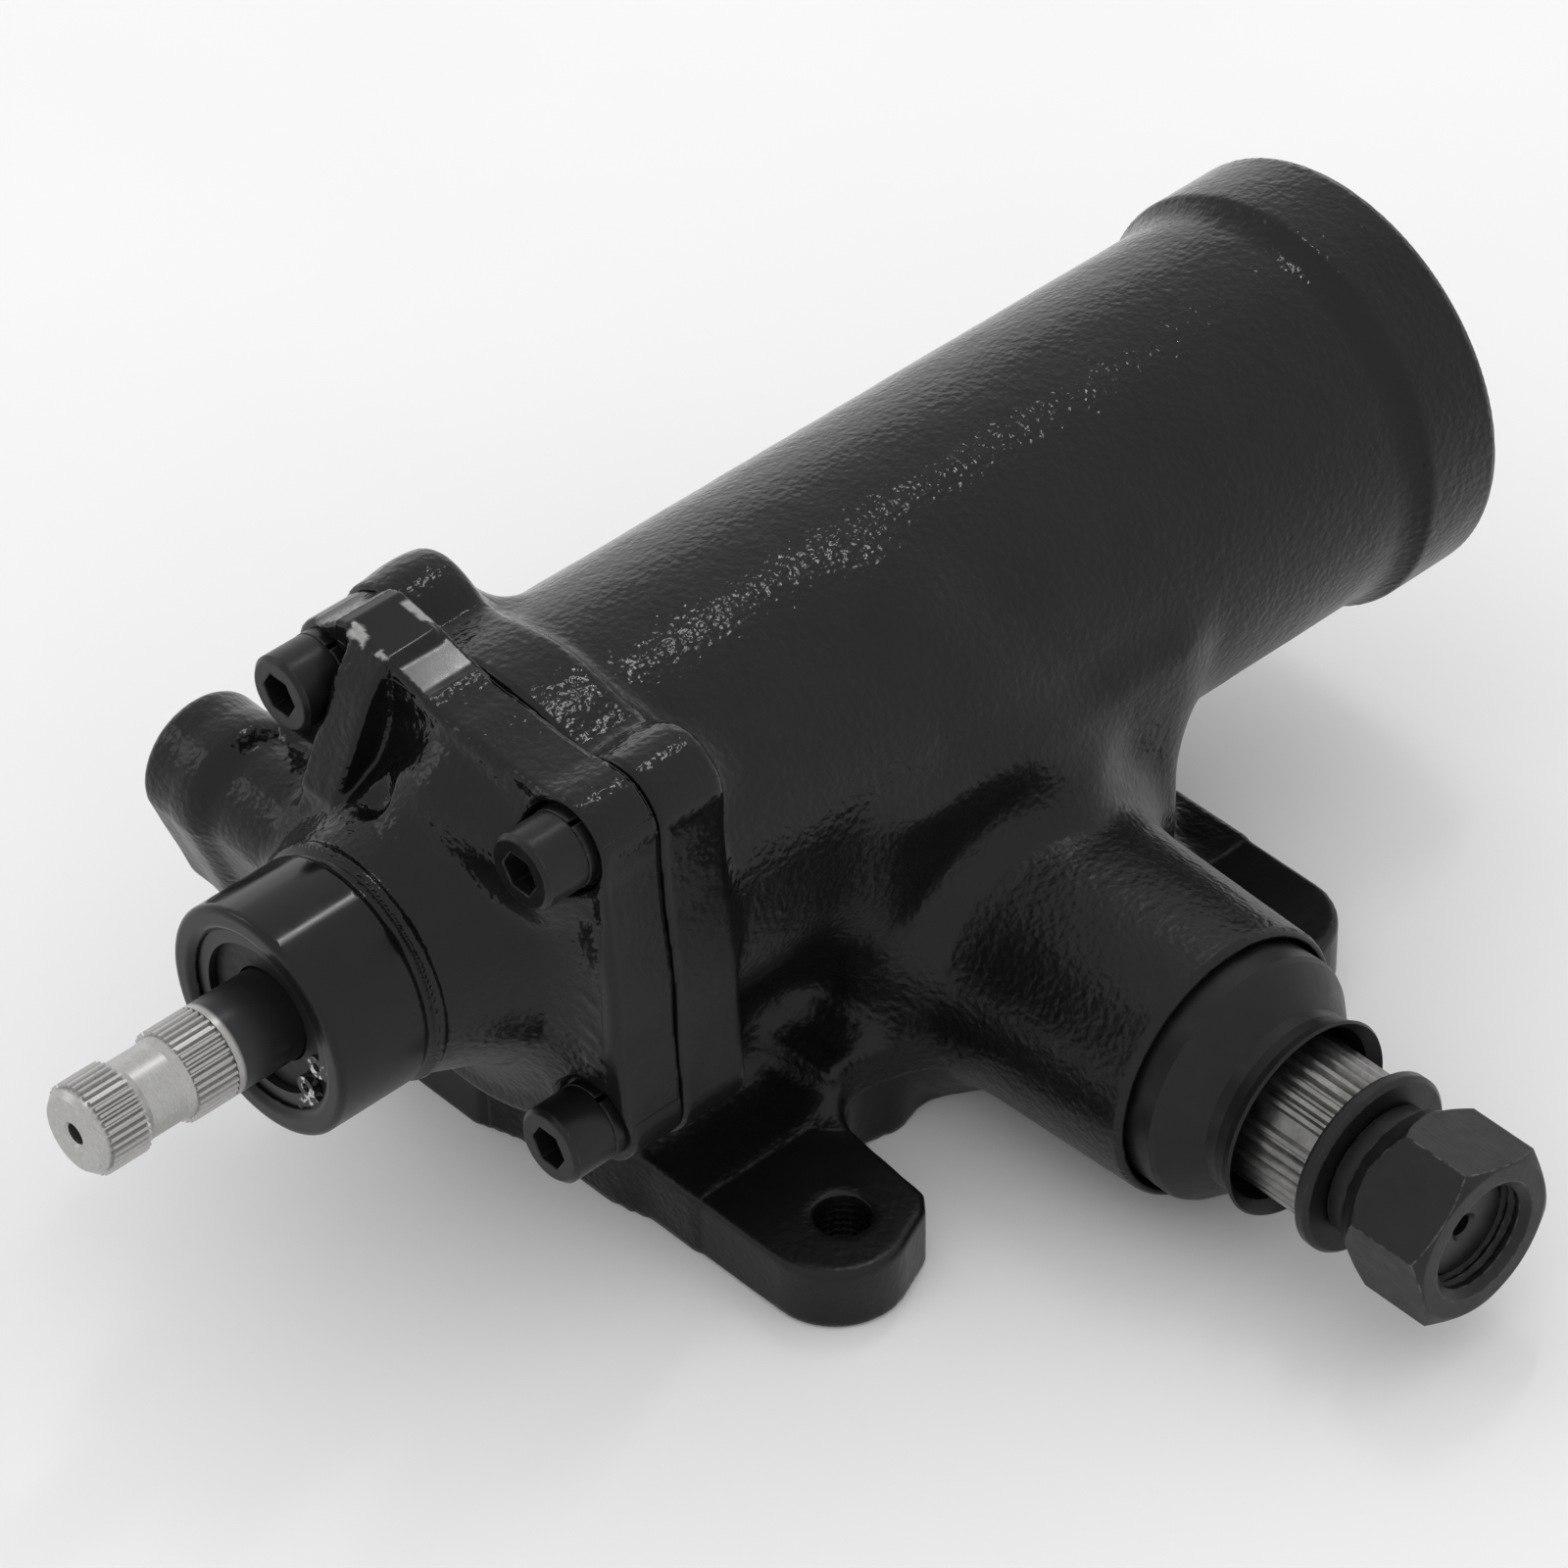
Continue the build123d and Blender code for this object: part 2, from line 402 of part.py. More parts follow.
clampb -= Pos(0, 0, ZW) * box(-4.8, 4.8, GUIDE_Y[0] - 4.8, GUIDE_Y[1] + 4.8, 22, 26)
strap = Pos(0, 0, ZW) * (box(-7, -4.9, -28, -18, 23.0, 34.0) + box(4.9, 7, -28, -18, 23.0, 34.0) + box(-7, 7, -28, -18, 32.8, 34.4))
clampb += strap
for gy in (-46.0, 0.0):
    clampb -= cyl_z(2.2, ZW + 20, ZW + 30, 0, gy)
save("ball_guide_clamp", one(clampb))
cs = []
for gy in (-46.0, 0.0):
    cs.append(cyl_z(3.6, ZW + 25.0, ZW + 28.6, 0, gy) + cyl_z(2.05, ZW + 15.0, ZW + 26.0, 0, gy)
              - Pos(0, gy, ZW + 27.0) * extrude(RegularPolygon(1.6, 6), amount=3))
group("guide_clamp_screws", cs)

# ------------------------------------------------------------------ sector shaft
def sector_outline():
    rb = R_P * math.cos(PA)
    inv = lambda a: math.tan(a) - a
    half = (p / 4 - 0.02) / R_P
    r_root = R_P - ADD - 0.8
    r_tip = R_P + ADD - 0.2
    fl = []
    rs = [r_root] + [max(rb, r_root) + (r_tip - max(rb, r_root)) * i / 9 for i in range(10)]
    for r in rs:
        a = math.acos(min(1, rb / r)) if r > rb else 0
        fl.append((r, half + inv(PA) - (inv(a) if r > rb else 0)))
    pts = []
    d = 2 * math.pi / TEETH_EQ
    # outline around the three teeth (angles from +Z towards +Y), then the hub arc
    a_start = -1.5 * d
    seq = []
    for k in (-1, 0, 1):
        c = k * d
        for r, h in fl:
            seq.append((r, c - h))
        for r, h in reversed(fl):
            seq.append((r, c + h))
    for r, a in seq:
        pts.append((r * math.sin(a), r * math.cos(a)))
    last = seq[-1][1]
    first = seq[0][1]
    n = 24
    for i in range(1, n):
        a = last + (2 * math.pi - (last - first)) * i / n
        pts.append((r_root * math.sin(a), r_root * math.cos(a)))
    return pts


X_NUT0, X_NUT1 = 138.2, 166.0
X_END = 160.6
ss = yz_prism(sector_outline(), -22.0, 20.0)
ss += rev_x([(-57.0, 0), (-57.0, 15.0), (-56.0, 16.0), (-24.0, 16.0), (-24.0, 18.0), (21.5, 18.0), (21.5, 17.5), (92.0, 17.5), (94.0, 16.6), (108.0, 16.4),
             (110.0, 15.0), (134.2, 15.0), (134.2, 11.3), (135.4, 11.1), (X_END - 1.2, 11.1), (X_END, 10.0), (X_END, 0)])
gaps = (4, 13, 22, 31)
spl = spline_prism(36, 14.9, 16.1, 0, 0, gap=gaps)
ss += yz_prism(spl, 109.0, 134.2)
ss -= rev_x([(X_END + 1, 0), (X_END + 1, 4.1), (X_END, 3.1), (X_END - 0.8, 2.3), (X_END - 8.0, 2.3), (X_END - 9.0, 0)])
# adjuster slot in the cover end
ss -= cyl_x(6.2, -58.0, -50.0)
ss -= rev_x([(-54.5, 0), (-54.5, 9.2), (-50.0, 9.2), (-50.0, 0)])
save("sector_shaft", one(ss))

adj = cyl_x(5.9, -82.0, -54.0) + cyl_x(8.9, -54.2, -50.3)
adj -= Pos(-82.0, 0, ZS) * Rot(0, 90, 0) * extrude(RegularPolygon(3.0, 6), amount=6)
save("adjuster_screw", one(adj))
an = Pos(-78.0, 0, ZS) * Rot(0, 90, 0) * extrude(RegularPolygon(9.5 / math.cos(math.pi / 6), 6), amount=8)
an &= rev_x([(-78.0, 0), (-78.0, 9.6), (-76.6, 11.2), (-70.0, 11.2), (-70.0, 0)])
an -= cyl_x(6.0, -80.0, -60.0)
save("adjuster_lock_nut", one(an))

# side cover and its gasket
GASKET = 1.0
X_CF = X_COVER - GASKET
cov = box(X_CF - 10, X_CF, -40, 40, 4.0, ZS + 36)
cov = fillet(cov.edges().filter_by(Axis.X), 8.5)
cov = fillet(cov.edges().group_by(Axis.X)[0], 1.5)
cov += rev_x([(-70.0, 0), (-70.0, 13.5), (-67.5, 16.0), (-59.0, 21.5), (X_CF - 9, 23.5), (X_CF - 9, 0)])
cov += cyl_x(26.5, X_CF, -36.0, z=6.0)
cov -= rev_x([(-58.5, 0), (-58.5, 18.8), (-27.0, 18.8), (-27.0, 0)])
cov -= cyl_x(6.05, -75.0, -57.0)
for by, bz in COVER_BOLTS:
    cov -= cyl_x(5.5, X_CF - 12, X_CF + 1, by, bz)
save("side_cover", one(cov))
gk = fillet(box(X_CF, X_COVER, -40, 40, 4.0, ZS + 36).edges().filter_by(Axis.X), 8.5)
gk -= cyl_x(27.0, X_CF - 1, X_COVER + 1, z=6.0)
for by, bz in COVER_BOLTS:
    gk -= cyl_x(5.5, X_CF - 1, X_COVER + 1, by, bz)
save("side_cover_gasket", one(gk))
cb = []
for by, bz in COVER_BOLTS:
    hx = Pos(X_CF - 17.4, by, ZS + bz) * Rot(0, 90, 0) * extrude(RegularPolygon(8.0 / math.cos(math.pi / 6), 6), amount=6.4)
    hx += cyl_x(8.0, X_CF - 11.1, X_CF - 10.0, by, bz)
    cb.append(hx + cyl_x(4.95, X_CF - 11.5, X_COVER + 11.0, by, bz))
group("side_cover_bolts", cb)
save("sector_bearing_cover", rev_x([(-57.0, 16.05), (-57.0, 18.75), (-37.0, 18.75), (-37.0, 16.05)]))
save("sector_bearing_output", rev_x([(28.0, 17.55), (28.0, 21.45), (56.0, 21.45), (56.0, 17.55)]))
save("sector_oil_seal", rev_x([(64.0, 18.6), (63.0, 23.95), (73.0, 23.95), (73.0, 18.9), (71.6, 18.9), (71.6, 22.4), (65.4, 22.4), (65.4, 19.2), (69.0, 17.62), (66.5, 17.62)]))
save("sector_seal_washer", rev_x([(73.3, 18.2), (73.3, 23.8), (77.4, 23.8), (77.4, 18.2)]))
rr = rev_x([(78.2, 21.0), (78.2, 25.2), (80.0, 25.2), (80.0, 21.0)])
rr -= Pos(79.0, 0, ZS) * Rot(-30, 0, 0) * Pos(0, 0, 24) * Box(4, 8, 10)
save("sector_retaining_ring", one(rr))
save("sector_dust_seal", rev_x([(84.4, 17.9), (84.4, 25.4), (88.0, 26.6), (104.0, 26.8), (105.2, 26.2), (110.6, 21.4), (112.3, 19.9), (115.0, 20.0), (117.6, 20.6), (119.4, 21.4), (120.0, 21.0),
                                (117.6, 18.9), (114.0, 18.4), (106.0, 18.4), (105.0, 20.2), (92.0, 20.2), (91.0, 17.9)]))
# nut and washer on the output thread
lw = rev_x([(134.4, 12.4), (134.4, 18.4), (135.3, 19.3), (137.1, 19.3), (138.0, 18.4), (138.0, 12.4)])
lw -= Pos(136.2, 0, ZS) * Rot(215, 0, 0) * Pos(0, 0, 17) * Rot(0, 12, 0) * Box(9, 1.4, 14)
save("output_lock_washer", one(lw))
nut = Pos(X_NUT0, 0, ZS) * Rot(14.3, 0, 0) * Rot(0, 90, 0) * extrude(RegularPolygon(17.0 / math.cos(math.pi / 6), 6), amount=X_NUT1 - X_NUT0)
nut &= rev_x([(X_NUT0, 0), (X_NUT0, 13.4), (X_NUT0 + 0.5, 13.9), (142.4, 13.9), (143.6, 15.6), (146.6, 17.2), (149.4, 19.7),
              (X_NUT1 - 1.6, 19.7), (X_NUT1 - 0.1, 16.9), (X_NUT1, 16.6), (X_NUT1, 0)])
prof = [(X_NUT0 - 1, 0), (X_NUT0 - 1, 12.2), (X_NUT0, 12.2), (X_NUT0 + 1.0, 11.2)]
x = X_NUT0 + 1.4
while x < X_NUT1 - 3.4:
    prof += [(x, 11.2), (x + 0.85, 12.0), (x + 1.0, 12.0), (x + 1.85, 11.2)]
    x += 2.0
prof += [(X_NUT1 - 1.6, 11.2), (X_NUT1, 13.0), (X_NUT1 + 1, 13.0), (X_NUT1 + 1, 0)]
nut -= rev_x(prof)
save("output_nut", one(nut))

# ------------------------------------------------------------------ rear end
ep = rev_y([(0, 101.0), (36.5, 101.0), (37.9, 102.4), (37.9, 124.2), (30.0, 124.2), (28.0, 119.0), (0, 119.0)])
ep -= rev_y([(36.0, 108.0), (39, 108.0), (39, 111.6), (36.0, 111.6)])
ep -= Pos(0, 119.0, ZW) * Rot(90, 0, 0) * extrude(RegularPolygon(9.0, 4), amount=7)
save("rear_end_plug", one(ep))
save("rear_plug_seal", rev_y([(36.1, 108.2), (37.95, 108.2), (37.95, 111.4), (36.1, 111.4)]))
rring = rev_y([(35.6, 124.8), (39.4, 124.8), (39.4, 127.6), (35.6, 127.6)])
rring -= Pos(0, 126.2, ZW - 37) * Box(12, 6, 9)
save("rear_retaining_ring", one(rring))
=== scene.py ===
"""Looks for the integral worm steering gearbox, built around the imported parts.

Row frame: +Y along the worm axis to the closed rear end, +X along the output
shaft, +Z up from the mounting pads. Castings are rebuilt as soft-edged skins
from signed distances, so that the fillets and the sand-cast surface show.
"""
import json
import math

import bpy
import numpy as np
from mathutils import Matrix, Vector
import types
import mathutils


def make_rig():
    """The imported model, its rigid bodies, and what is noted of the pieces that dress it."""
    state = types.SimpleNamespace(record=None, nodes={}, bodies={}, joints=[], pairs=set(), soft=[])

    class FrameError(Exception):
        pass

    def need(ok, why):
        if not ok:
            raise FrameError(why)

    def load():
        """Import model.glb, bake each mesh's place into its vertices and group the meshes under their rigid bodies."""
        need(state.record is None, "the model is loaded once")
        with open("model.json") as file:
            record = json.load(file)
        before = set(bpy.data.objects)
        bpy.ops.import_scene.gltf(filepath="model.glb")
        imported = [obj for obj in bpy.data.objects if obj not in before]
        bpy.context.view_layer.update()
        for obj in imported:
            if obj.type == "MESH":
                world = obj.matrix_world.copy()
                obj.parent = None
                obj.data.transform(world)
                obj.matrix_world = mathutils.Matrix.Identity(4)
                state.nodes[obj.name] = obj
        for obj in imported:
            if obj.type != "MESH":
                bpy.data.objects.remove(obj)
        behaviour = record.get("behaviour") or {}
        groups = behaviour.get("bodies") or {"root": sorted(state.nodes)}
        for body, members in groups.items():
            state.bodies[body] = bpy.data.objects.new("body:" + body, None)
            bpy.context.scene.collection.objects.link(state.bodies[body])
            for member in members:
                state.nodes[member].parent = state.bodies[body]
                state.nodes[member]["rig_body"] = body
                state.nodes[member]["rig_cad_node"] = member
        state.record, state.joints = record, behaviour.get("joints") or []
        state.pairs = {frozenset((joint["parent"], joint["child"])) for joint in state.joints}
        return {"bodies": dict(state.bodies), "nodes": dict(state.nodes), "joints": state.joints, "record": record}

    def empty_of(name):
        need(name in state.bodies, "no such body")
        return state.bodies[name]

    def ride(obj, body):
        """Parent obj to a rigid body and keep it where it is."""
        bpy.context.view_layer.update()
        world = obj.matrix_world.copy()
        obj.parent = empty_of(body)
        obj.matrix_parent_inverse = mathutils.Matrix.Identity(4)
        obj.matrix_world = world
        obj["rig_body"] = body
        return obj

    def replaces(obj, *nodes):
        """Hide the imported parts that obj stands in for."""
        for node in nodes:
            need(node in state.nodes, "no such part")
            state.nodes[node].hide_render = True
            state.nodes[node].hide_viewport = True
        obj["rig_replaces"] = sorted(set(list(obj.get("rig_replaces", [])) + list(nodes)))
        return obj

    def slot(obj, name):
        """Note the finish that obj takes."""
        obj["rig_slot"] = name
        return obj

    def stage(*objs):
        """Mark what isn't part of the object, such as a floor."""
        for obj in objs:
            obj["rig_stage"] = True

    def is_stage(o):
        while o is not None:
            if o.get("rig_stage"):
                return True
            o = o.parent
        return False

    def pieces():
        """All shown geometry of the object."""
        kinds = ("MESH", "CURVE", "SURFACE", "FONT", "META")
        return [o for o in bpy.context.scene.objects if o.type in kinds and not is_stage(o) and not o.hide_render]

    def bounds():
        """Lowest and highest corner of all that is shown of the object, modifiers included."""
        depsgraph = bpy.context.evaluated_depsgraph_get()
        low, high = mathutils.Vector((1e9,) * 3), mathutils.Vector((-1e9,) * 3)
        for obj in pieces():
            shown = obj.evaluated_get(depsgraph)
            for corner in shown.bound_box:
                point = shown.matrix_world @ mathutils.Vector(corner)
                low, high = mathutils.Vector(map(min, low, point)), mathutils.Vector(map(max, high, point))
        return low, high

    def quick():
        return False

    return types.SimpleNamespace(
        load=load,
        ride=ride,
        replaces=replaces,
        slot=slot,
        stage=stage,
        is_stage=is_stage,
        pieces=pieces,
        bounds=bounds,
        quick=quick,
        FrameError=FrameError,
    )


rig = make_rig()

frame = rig.load()


def boxlist(b):
    return [[float(v) for v in b[0]], [float(v) for v in b[1]]]


def bounds_now():
    try:
        return boxlist(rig.bounds())
    except Exception:
        return None


size_before = bounds_now()
NODES = frame["nodes"]
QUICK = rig.quick()
RNG = np.random.default_rng(7)

ZW, ZS = 76.0, 30.0
MM = 0.001

# ------------------------------------------------------------------ distance fields (millimetres)


def table2d(pts, step, pad):
    """Signed distance table of a closed polygon, negative inside."""
    p = np.array(pts, float)
    lo = p.min(0) - pad
    n = np.ceil((p.max(0) + pad - lo) / step).astype(int) + 1
    gx, gy = np.meshgrid(lo[0] + np.arange(n[0]) * step, lo[1] + np.arange(n[1]) * step, indexing="ij")
    best = np.full(gx.shape, 1e9)
    inside = np.zeros(gx.shape, bool)
    for i in range(len(p)):
        a, b = p[i], p[(i + 1) % len(p)]
        e = b - a
        L = max(float(e @ e), 1e-12)
        t = np.clip(((gx - a[0]) * e[0] + (gy - a[1]) * e[1]) / L, 0, 1)
        d = np.hypot(gx - a[0] - t * e[0], gy - a[1] - t * e[1])
        best = np.minimum(best, d)
        if abs(e[1]) > 1e-12:
            cond = ((a[1] > gy) != (b[1] > gy)) & (gx < e[0] * (gy - a[1]) / e[1] + a[0])
            inside ^= cond
    return lo, step, np.where(inside, -best, best).astype(np.float32)


def look(tab, u, v):
    lo, step, t = tab
    fu = np.clip((u - lo[0]) / step, 0, t.shape[0] - 1.001)
    fv = np.clip((v - lo[1]) / step, 0, t.shape[1] - 1.001)
    iu, iv = fu.astype(np.int32), fv.astype(np.int32)
    au, av = (fu - iu).astype(np.float32), (fv - iv).astype(np.float32)
    d = (t[iu, iv] * (1 - au) * (1 - av) + t[iu + 1, iv] * au * (1 - av) + t[iu, iv + 1] * (1 - au) * av + t[iu + 1, iv + 1] * au * av)
    ou = np.maximum(np.maximum(lo[0] - u, u - lo[0] - (t.shape[0] - 1) * step), 0)
    ov = np.maximum(np.maximum(lo[1] - v, v - lo[1] - (t.shape[1] - 1) * step), 0)
    return d + np.hypot(ou, ov).astype(np.float32)


class Grid:
    def __init__(self, lo, hi, h):
        self.lo = np.array(lo, float)
        self.h = h
        self.n = np.ceil((np.array(hi, float) - self.lo) / h).astype(int) + 1
        ax = [(self.lo[i] + np.arange(self.n[i]) * h).astype(np.float32) for i in range(3)]
        self.x = ax[0][:, None, None]
        self.y = ax[1][None, :, None]
        self.z = ax[2][None, None, :]
        self.one = np.zeros(tuple(self.n), np.float32)

    def rev_y(self, pts, round_=0.0, x=0.0, z=0.0):
        """Revolve a (radius, y) outline about an axis along Y."""
        r = np.sqrt((self.x - x) ** 2 + (self.z - ZW - z) ** 2) + 0 * self.y
        full = [(a, b) for a, b in pts] + [(-a, b) for a, b in reversed(pts)]
        tab = table2d(full, 0.25, 12.0)
        return look(tab, r, self.y + 0 * r) - round_

    def rev_x(self, pts, round_=0.0, y=0.0, z=0.0):
        """Revolve an (x, radius) outline about an axis along X."""
        r = np.sqrt((self.y - y) ** 2 + (self.z - ZS - z) ** 2) + 0 * self.x
        full = [(b, a) for a, b in pts] + [(-b, a) for a, b in reversed(pts)]
        tab = table2d(full, 0.25, 12.0)
        return look(tab, r, self.x + 0 * r) - round_

    def ext(self, pts, axis, lo, hi, round_=0.0):
        """Extrude an outline along an axis. The outline is in the other two axes in X, Y, Z order."""
        tab = table2d(pts, 0.4, 12.0)
        if axis == "x":
            u, v, w = self.y + 0 * self.z, self.z + 0 * self.y, self.x
        elif axis == "y":
            u, v, w = self.x + 0 * self.z, self.z + 0 * self.x, self.y
        else:
            u, v, w = self.x + 0 * self.y, self.y + 0 * self.x, self.z
        d2 = look(tab, u, v) + round_
        dw = np.abs(w - (lo + hi) / 2) - (hi - lo) / 2 + round_
        a, b = np.maximum(d2, 0), np.maximum(dw, 0)
        return np.sqrt(a * a + b * b) + np.minimum(np.maximum(d2, dw), 0) - round_

    def box(self, lo, hi, r=0.0):
        q = []
        for w, a, b in ((self.x, lo[0], hi[0]), (self.y, lo[1], hi[1]), (self.z, lo[2], hi[2])):
            q.append(np.abs(w - (a + b) / 2) - (b - a) / 2 + r)
        out = np.sqrt(np.maximum(q[0], 0) ** 2 + np.maximum(q[1], 0) ** 2 + np.maximum(q[2], 0) ** 2)
        return out + np.minimum(np.maximum(np.maximum(q[0], q[1]), q[2]), 0) - r

    def cyl(self, axis, r, lo, hi, a, b, round_=0.0):
        """Cylinder along an axis; a and b are its centre in the other two axes."""
        if axis == "x":
            rad, w = np.sqrt((self.y - a) ** 2 + (self.z - b) ** 2), self.x
        elif axis == "y":
            rad, w = np.sqrt((self.x - a) ** 2 + (self.z - b) ** 2), self.y
        else:
            rad, w = np.sqrt((self.x - a) ** 2 + (self.y - b) ** 2), self.z
        d2 = rad - r + round_
        dw = np.abs(w - (lo + hi) / 2) - (hi - lo) / 2 + round_
        return np.sqrt(np.maximum(d2, 0) ** 2 + np.maximum(dw, 0) ** 2) + np.minimum(np.maximum(d2, dw), 0) - round_

    def capsule(self, a, b, ra, rb):
        """Tapered rod between two points."""
        a, b = np.array(a, float), np.array(b, float)
        e = b - a
        L = float(e @ e)
        t = np.clip(((self.x - a[0]) * e[0] + (self.y - a[1]) * e[1] + (self.z - a[2]) * e[2]) / L, 0, 1)
        d = np.sqrt((self.x - a[0] - t * e[0]) ** 2 + (self.y - a[1] - t * e[1]) ** 2 + (self.z - a[2] - t * e[2]) ** 2)
        return d - (ra + (rb - ra) * t)


def smin(a, b, k):
    h = np.clip(0.5 + 0.5 * (b - a) / k, 0, 1)
    return b + (a - b) * h - k * h * (1 - h)


def cut(a, b, k=0.0):
    """a without b, with a rounded edge of about k."""
    if k <= 0:
        return np.maximum(a, -b)
    h = np.clip(0.5 - 0.5 * (a + b) / k, 0, 1)
    return a + (-b - a) * h + k * h * (1 - h)


def surface_nets(g, d, name):
    """Smooth quad mesh of the zero level of d on grid g."""
    s = d < 0
    n = np.array(d.shape)
    cells = np.zeros(tuple(n - 1), np.int8)
    for i in (0, 1):
        for j in (0, 1):
            for k in (0, 1):
                cells += s[i:n[0] - 1 + i, j:n[1] - 1 + j, k:n[2] - 1 + k]
    active = (cells > 0) & (cells < 8)
    idx = np.argwhere(active)
    ids = np.full(tuple(n - 1), -1, np.int64)
    ids[active] = np.arange(len(idx))
    acc = np.zeros((len(idx), 3))
    cnt = np.zeros(len(idx))
    corners = [(0, 0, 0), (1, 0, 0), (0, 1, 0), (1, 1, 0), (0, 0, 1), (1, 0, 1), (0, 1, 1), (1, 1, 1)]
    vals = [d[idx[:, 0] + c[0], idx[:, 1] + c[1], idx[:, 2] + c[2]].astype(float) for c in corners]
    for a in range(8):
        for b in range(a + 1, 8):
            ca, cb = corners[a], corners[b]
            if sum(abs(ca[i] - cb[i]) for i in range(3)) != 1:
                continue
            va, vb = vals[a], vals[b]
            m = (va < 0) != (vb < 0)
            t = np.where(m, va / np.where(m, va - vb, 1), 0)
            for i in range(3):
                acc[:, i] += np.where(m, ca[i] + t * (cb[i] - ca[i]), 0)
            cnt += m
    co = g.lo + (idx + acc / cnt[:, None]) * g.h
    quads = []
    for axis in range(3):
        o = [0, 0, 0]
        o[axis] = 1
        sa = s[:n[0] - o[0], :n[1] - o[1], :n[2] - o[2]]
        sb = s[o[0]:, o[1]:, o[2]:]
        u, v = [i for i in range(3) if i != axis]
        diff = sa != sb
        e = np.argwhere(diff)
        ok = (e[:, u] > 0) & (e[:, v] > 0) & (e[:, u] < n[u] - 1) & (e[:, v] < n[v] - 1)
        e = e[ok]
        flip = sa[e[:, 0], e[:, 1], e[:, 2]]
        q = []
        for du, dv in ((0, 0), (-1, 0), (-1, -1), (0, -1)):
            c = e.copy()
            c[:, u] += du
            c[:, v] += dv
            q.append(ids[c[:, 0], c[:, 1], c[:, 2]])
        q = np.stack(q, 1)
        if axis == 1:
            flip = ~flip
        q[~flip] = q[~flip][:, ::-1]
        quads.append(q)
    quads = np.concatenate(quads)
    return co, quads


def mesh_from(name, co, quads):
    me = bpy.data.meshes.new(name)
    me.vertices.add(len(co))
    me.vertices.foreach_set("co", (co * MM).astype(np.float32).ravel())
    me.loops.add(len(quads) * 4)
    me.loops.foreach_set("vertex_index", quads.astype(np.int32).ravel())
    me.polygons.add(len(quads))
    me.polygons.foreach_set("loop_start", (np.arange(len(quads)) * 4).astype(np.int32))
    me.polygons.foreach_set("loop_total", np.full(len(quads), 4, np.int32))
    me.update(calc_edges=True)
    me.validate()
    me.polygons.foreach_set("use_smooth", np.ones(len(me.polygons), bool))
    o = bpy.data.objects.new(name, me)
    bpy.context.scene.collection.objects.link(o)
    return o


def hull2(p, q, r, n=14):
    (x0, y0), (x1, y1) = p, q
    a = math.atan2(y1 - y0, x1 - x0)
    pts = []
    for c, s in (((x1, y1), a - math.pi / 2), ((x0, y0), a + math.pi / 2)):
        for i in range(n + 1):
            t = s + math.pi * i / n
            pts.append((c[0] + r * math.cos(t), c[1] + r * math.sin(t)))
    return pts


def arc(cx, cy, r, a0, a1, n=14):
    return [(cx + r * math.cos(math.radians(a0 + (a1 - a0) * i / n)), cy + r * math.sin(math.radians(a0 + (a1 - a0) * i / n))) for i in range(n + 1)]


BOLTS = [(-33.7, 37.0), (33.8, 35.5), (38.3, -30.0), (-38.3, -30.0)]
YJ, YF, YB = -95.0, -109.0, -79.0
EARS = [(66.0, -71.0), (57.0, 43.0), (-60.0, -86.0), (-60.5, 61.0)]
BZ = [(x, ZW + z) for x, z in BOLTS]


